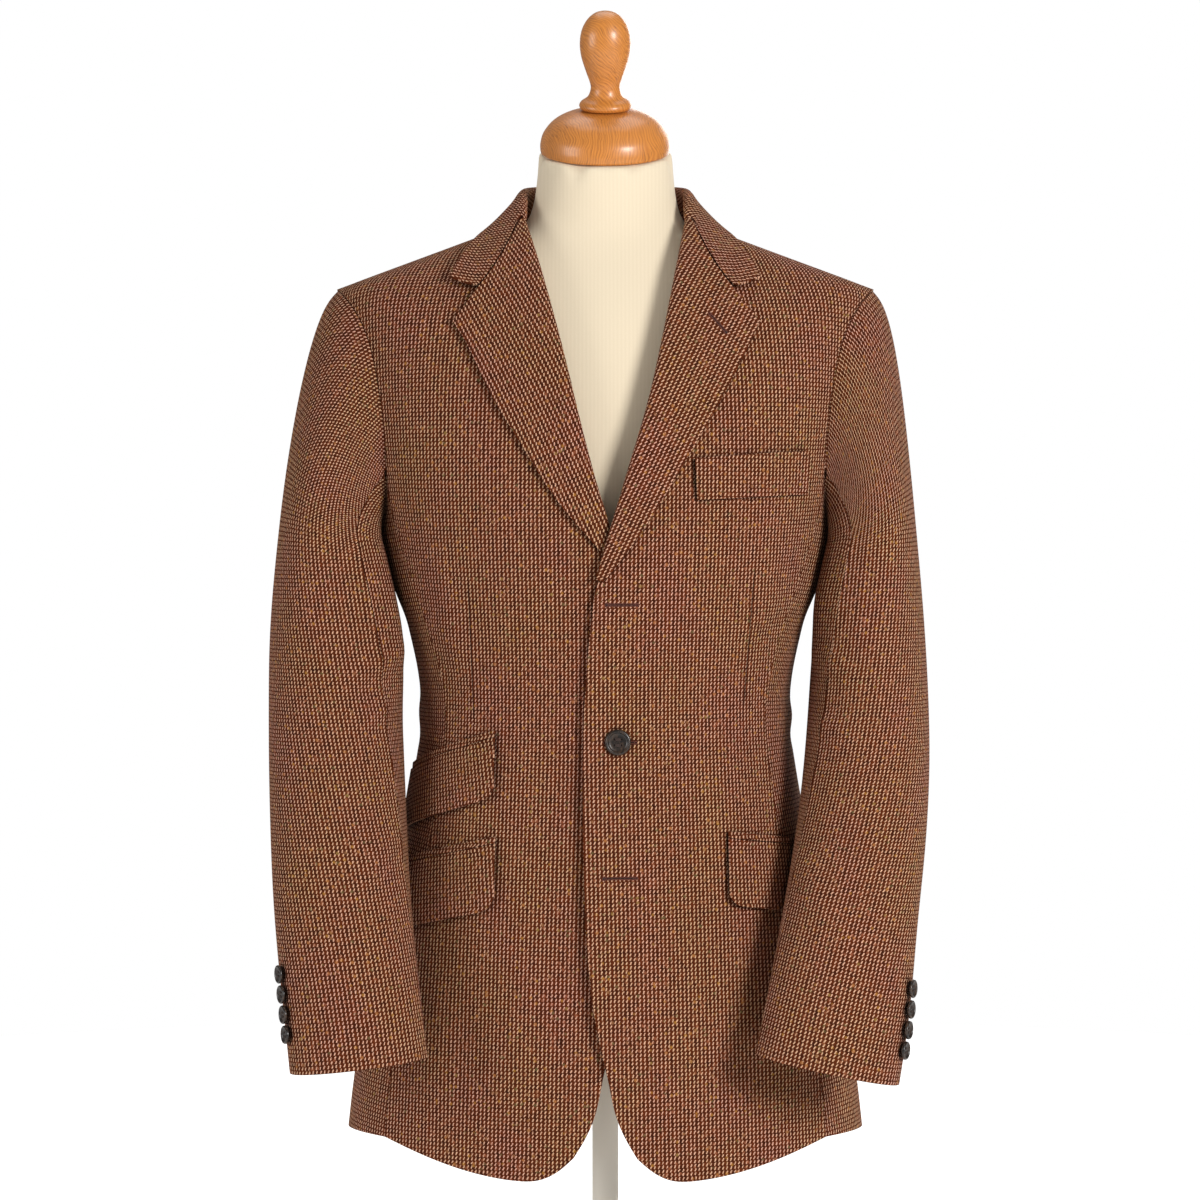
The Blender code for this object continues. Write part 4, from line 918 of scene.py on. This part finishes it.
def makeButton(nodeName, outward, threads):
    seat, radius, height = buttonSeat(nodeName, outward)
    line = [(r * radius, h * height) for r, h in button["profile"]]
    piece = showPiece("sewn_" + nodeName, turnProfile(line, button["corners"], button["steps"]), buttonHorn)
    drill = bmesh.new()
    hole = button["hole"] * radius
    far = button["spread"] * radius
    for x in (-far, far):
        for y in (-far, far):
            bmesh.ops.create_cone(drill, cap_ends=True, segments=12, radius1=hole, radius2=hole,
                                  depth=4 * height, matrix=Matrix.Translation((x, y, 0)))
    cutter = showPiece("button_drill", drill, buttonHorn, smooth=False)
    cut = piece.modifiers.new("holes", "BOOLEAN")
    cut.operation = "DIFFERENCE"
    cut.object = cutter
    applyModifiers(piece)
    bpy.data.objects.remove(cutter)
    piece.data.transform(seat)
    piece.data.set_sharp_from_angle(angle=button["sharp"])
    place(piece, "horn", nodeName)
    # two bars of three strands each, lying in the dish between the holes
    strand = button["strand"] * radius
    rise = button["dish"] * height + strand * button["bed"]
    size = Matrix.Diagonal((far * button["barReach"], strand, strand * button["strandRise"], 1))
    for y in (-far, far):
        for k in (-1, 0, 1):
            bed = Matrix.Translation((0, y + k * strand * button["strandGap"], rise))
            bmesh.ops.create_uvsphere(threads, u_segments=12, v_segments=8, radius=1, matrix=seat @ bed @ size)


buttonThreads = bmesh.new()
makeButton("front_button", button["front"], buttonThreads)
for side in ("left", "right"):
    for number in (1, 2, 3, 4):
        makeButton("cuff_button_{}_{}".format(side, number), button[side], buttonThreads)
place(showPiece("button_sewing_thread", buttonThreads, buttonThread), "tweed")
print("buttons made")

# worked buttonholes: (x, z) of the eye and of the bar end, on the left front and the left lapel
# each stitch is a bead, given as half its length along the slit, across it and up; the slit and the eye's hole
# are near-black beads of painted shade in the cut
buttonholes = {"pitch": 0.0007, "off": 0.00088, "eye": 0.0016, "bar": 0.0012, "turns": 10, "ahead": 0.02,
               "stitch": (0.000385, 0.00072, 0.00055), "endStitch": (0.0005, 0.00054, 0.00055),
               "slit": (0.00056, 0.00028, 0.00033), "hole": (0.00112, 0.00112, 0.00033),
               "places": (("front_panel_left", (0.0010, 0.6112), (0.0255, 0.6112)),
                          ("front_panel_left", (0.0000, 0.4995), (0.0245, 0.4995)),
                          ("front_panel_left", (-0.0012, 0.3898), (0.0250, 0.3898)),
                          ("lapel_facing_left", (0.0980, 0.8330), (0.0850, 0.8480)))}


def addBead(bm, seat, size, detail=1):
    bmesh.ops.create_icosphere(bm, subdivisions=detail, radius=1, matrix=seat @ Matrix.Diagonal((*size, 1)))


def makeButtonholes():
    turns = buttonholes["turns"]
    stitches = bmesh.new()
    openingShade = bmesh.new()
    graph = bpy.context.evaluated_depsgraph_get()
    for pieceName, first, last in buttonholes["places"]:
        surface = BVHTree.FromObject(bpy.data.objects[pieceName], graph)

        def onCloth(x, z):
            spot, normal, _, _ = surface.ray_cast(Vector((x, -1, z)), Vector((0, 1, 0)))
            return spot, normal
        start, end = Vector(first), Vector(last)
        count = int((end - start).length / buttonholes["pitch"])
        for i in range(count + 1):
            point = start.lerp(end, i / count)
            spot, normal = onCloth(*point)
            ahead = (onCloth(*(point + (end - start) * buttonholes["ahead"]))[0] - spot).normalized()
            across = normal.cross(ahead).normalized()
            basis = Matrix((ahead, across, normal)).transposed().to_4x4()
            here = Matrix.Translation(spot) @ basis
            for lean in (-1, 1):
                middle = Matrix.Translation(spot + across * lean * buttonholes["off"])
                addBead(stitches, middle @ basis, buttonholes["stitch"])
            # a near-black bead under the stitches: painted shade in the cut of the slit
            addBead(openingShade, here, buttonholes["slit"])
            if i in (0, count):  # the eye at one end, a bar of thread at the other
                out = Matrix.Translation((0, buttonholes["bar" if i else "eye"], 0))
                for k in range(turns):
                    turn = Matrix.Rotation(2 * math.pi * k / turns, 4, "Z")
                    addBead(stitches, here @ turn @ out, buttonholes["endStitch"])
            # the eye's hole is a larger near-black bead of painted shade
            if i == 0:
                addBead(openingShade, here, buttonholes["hole"], 2)
    place(showPiece("buttonhole_stitches", stitches, stitchThread), "tweed")
    place(showPiece("buttonhole_slits", openingShade, slitShade), "tweed")


makeButtonholes()
print("buttonholes worked")
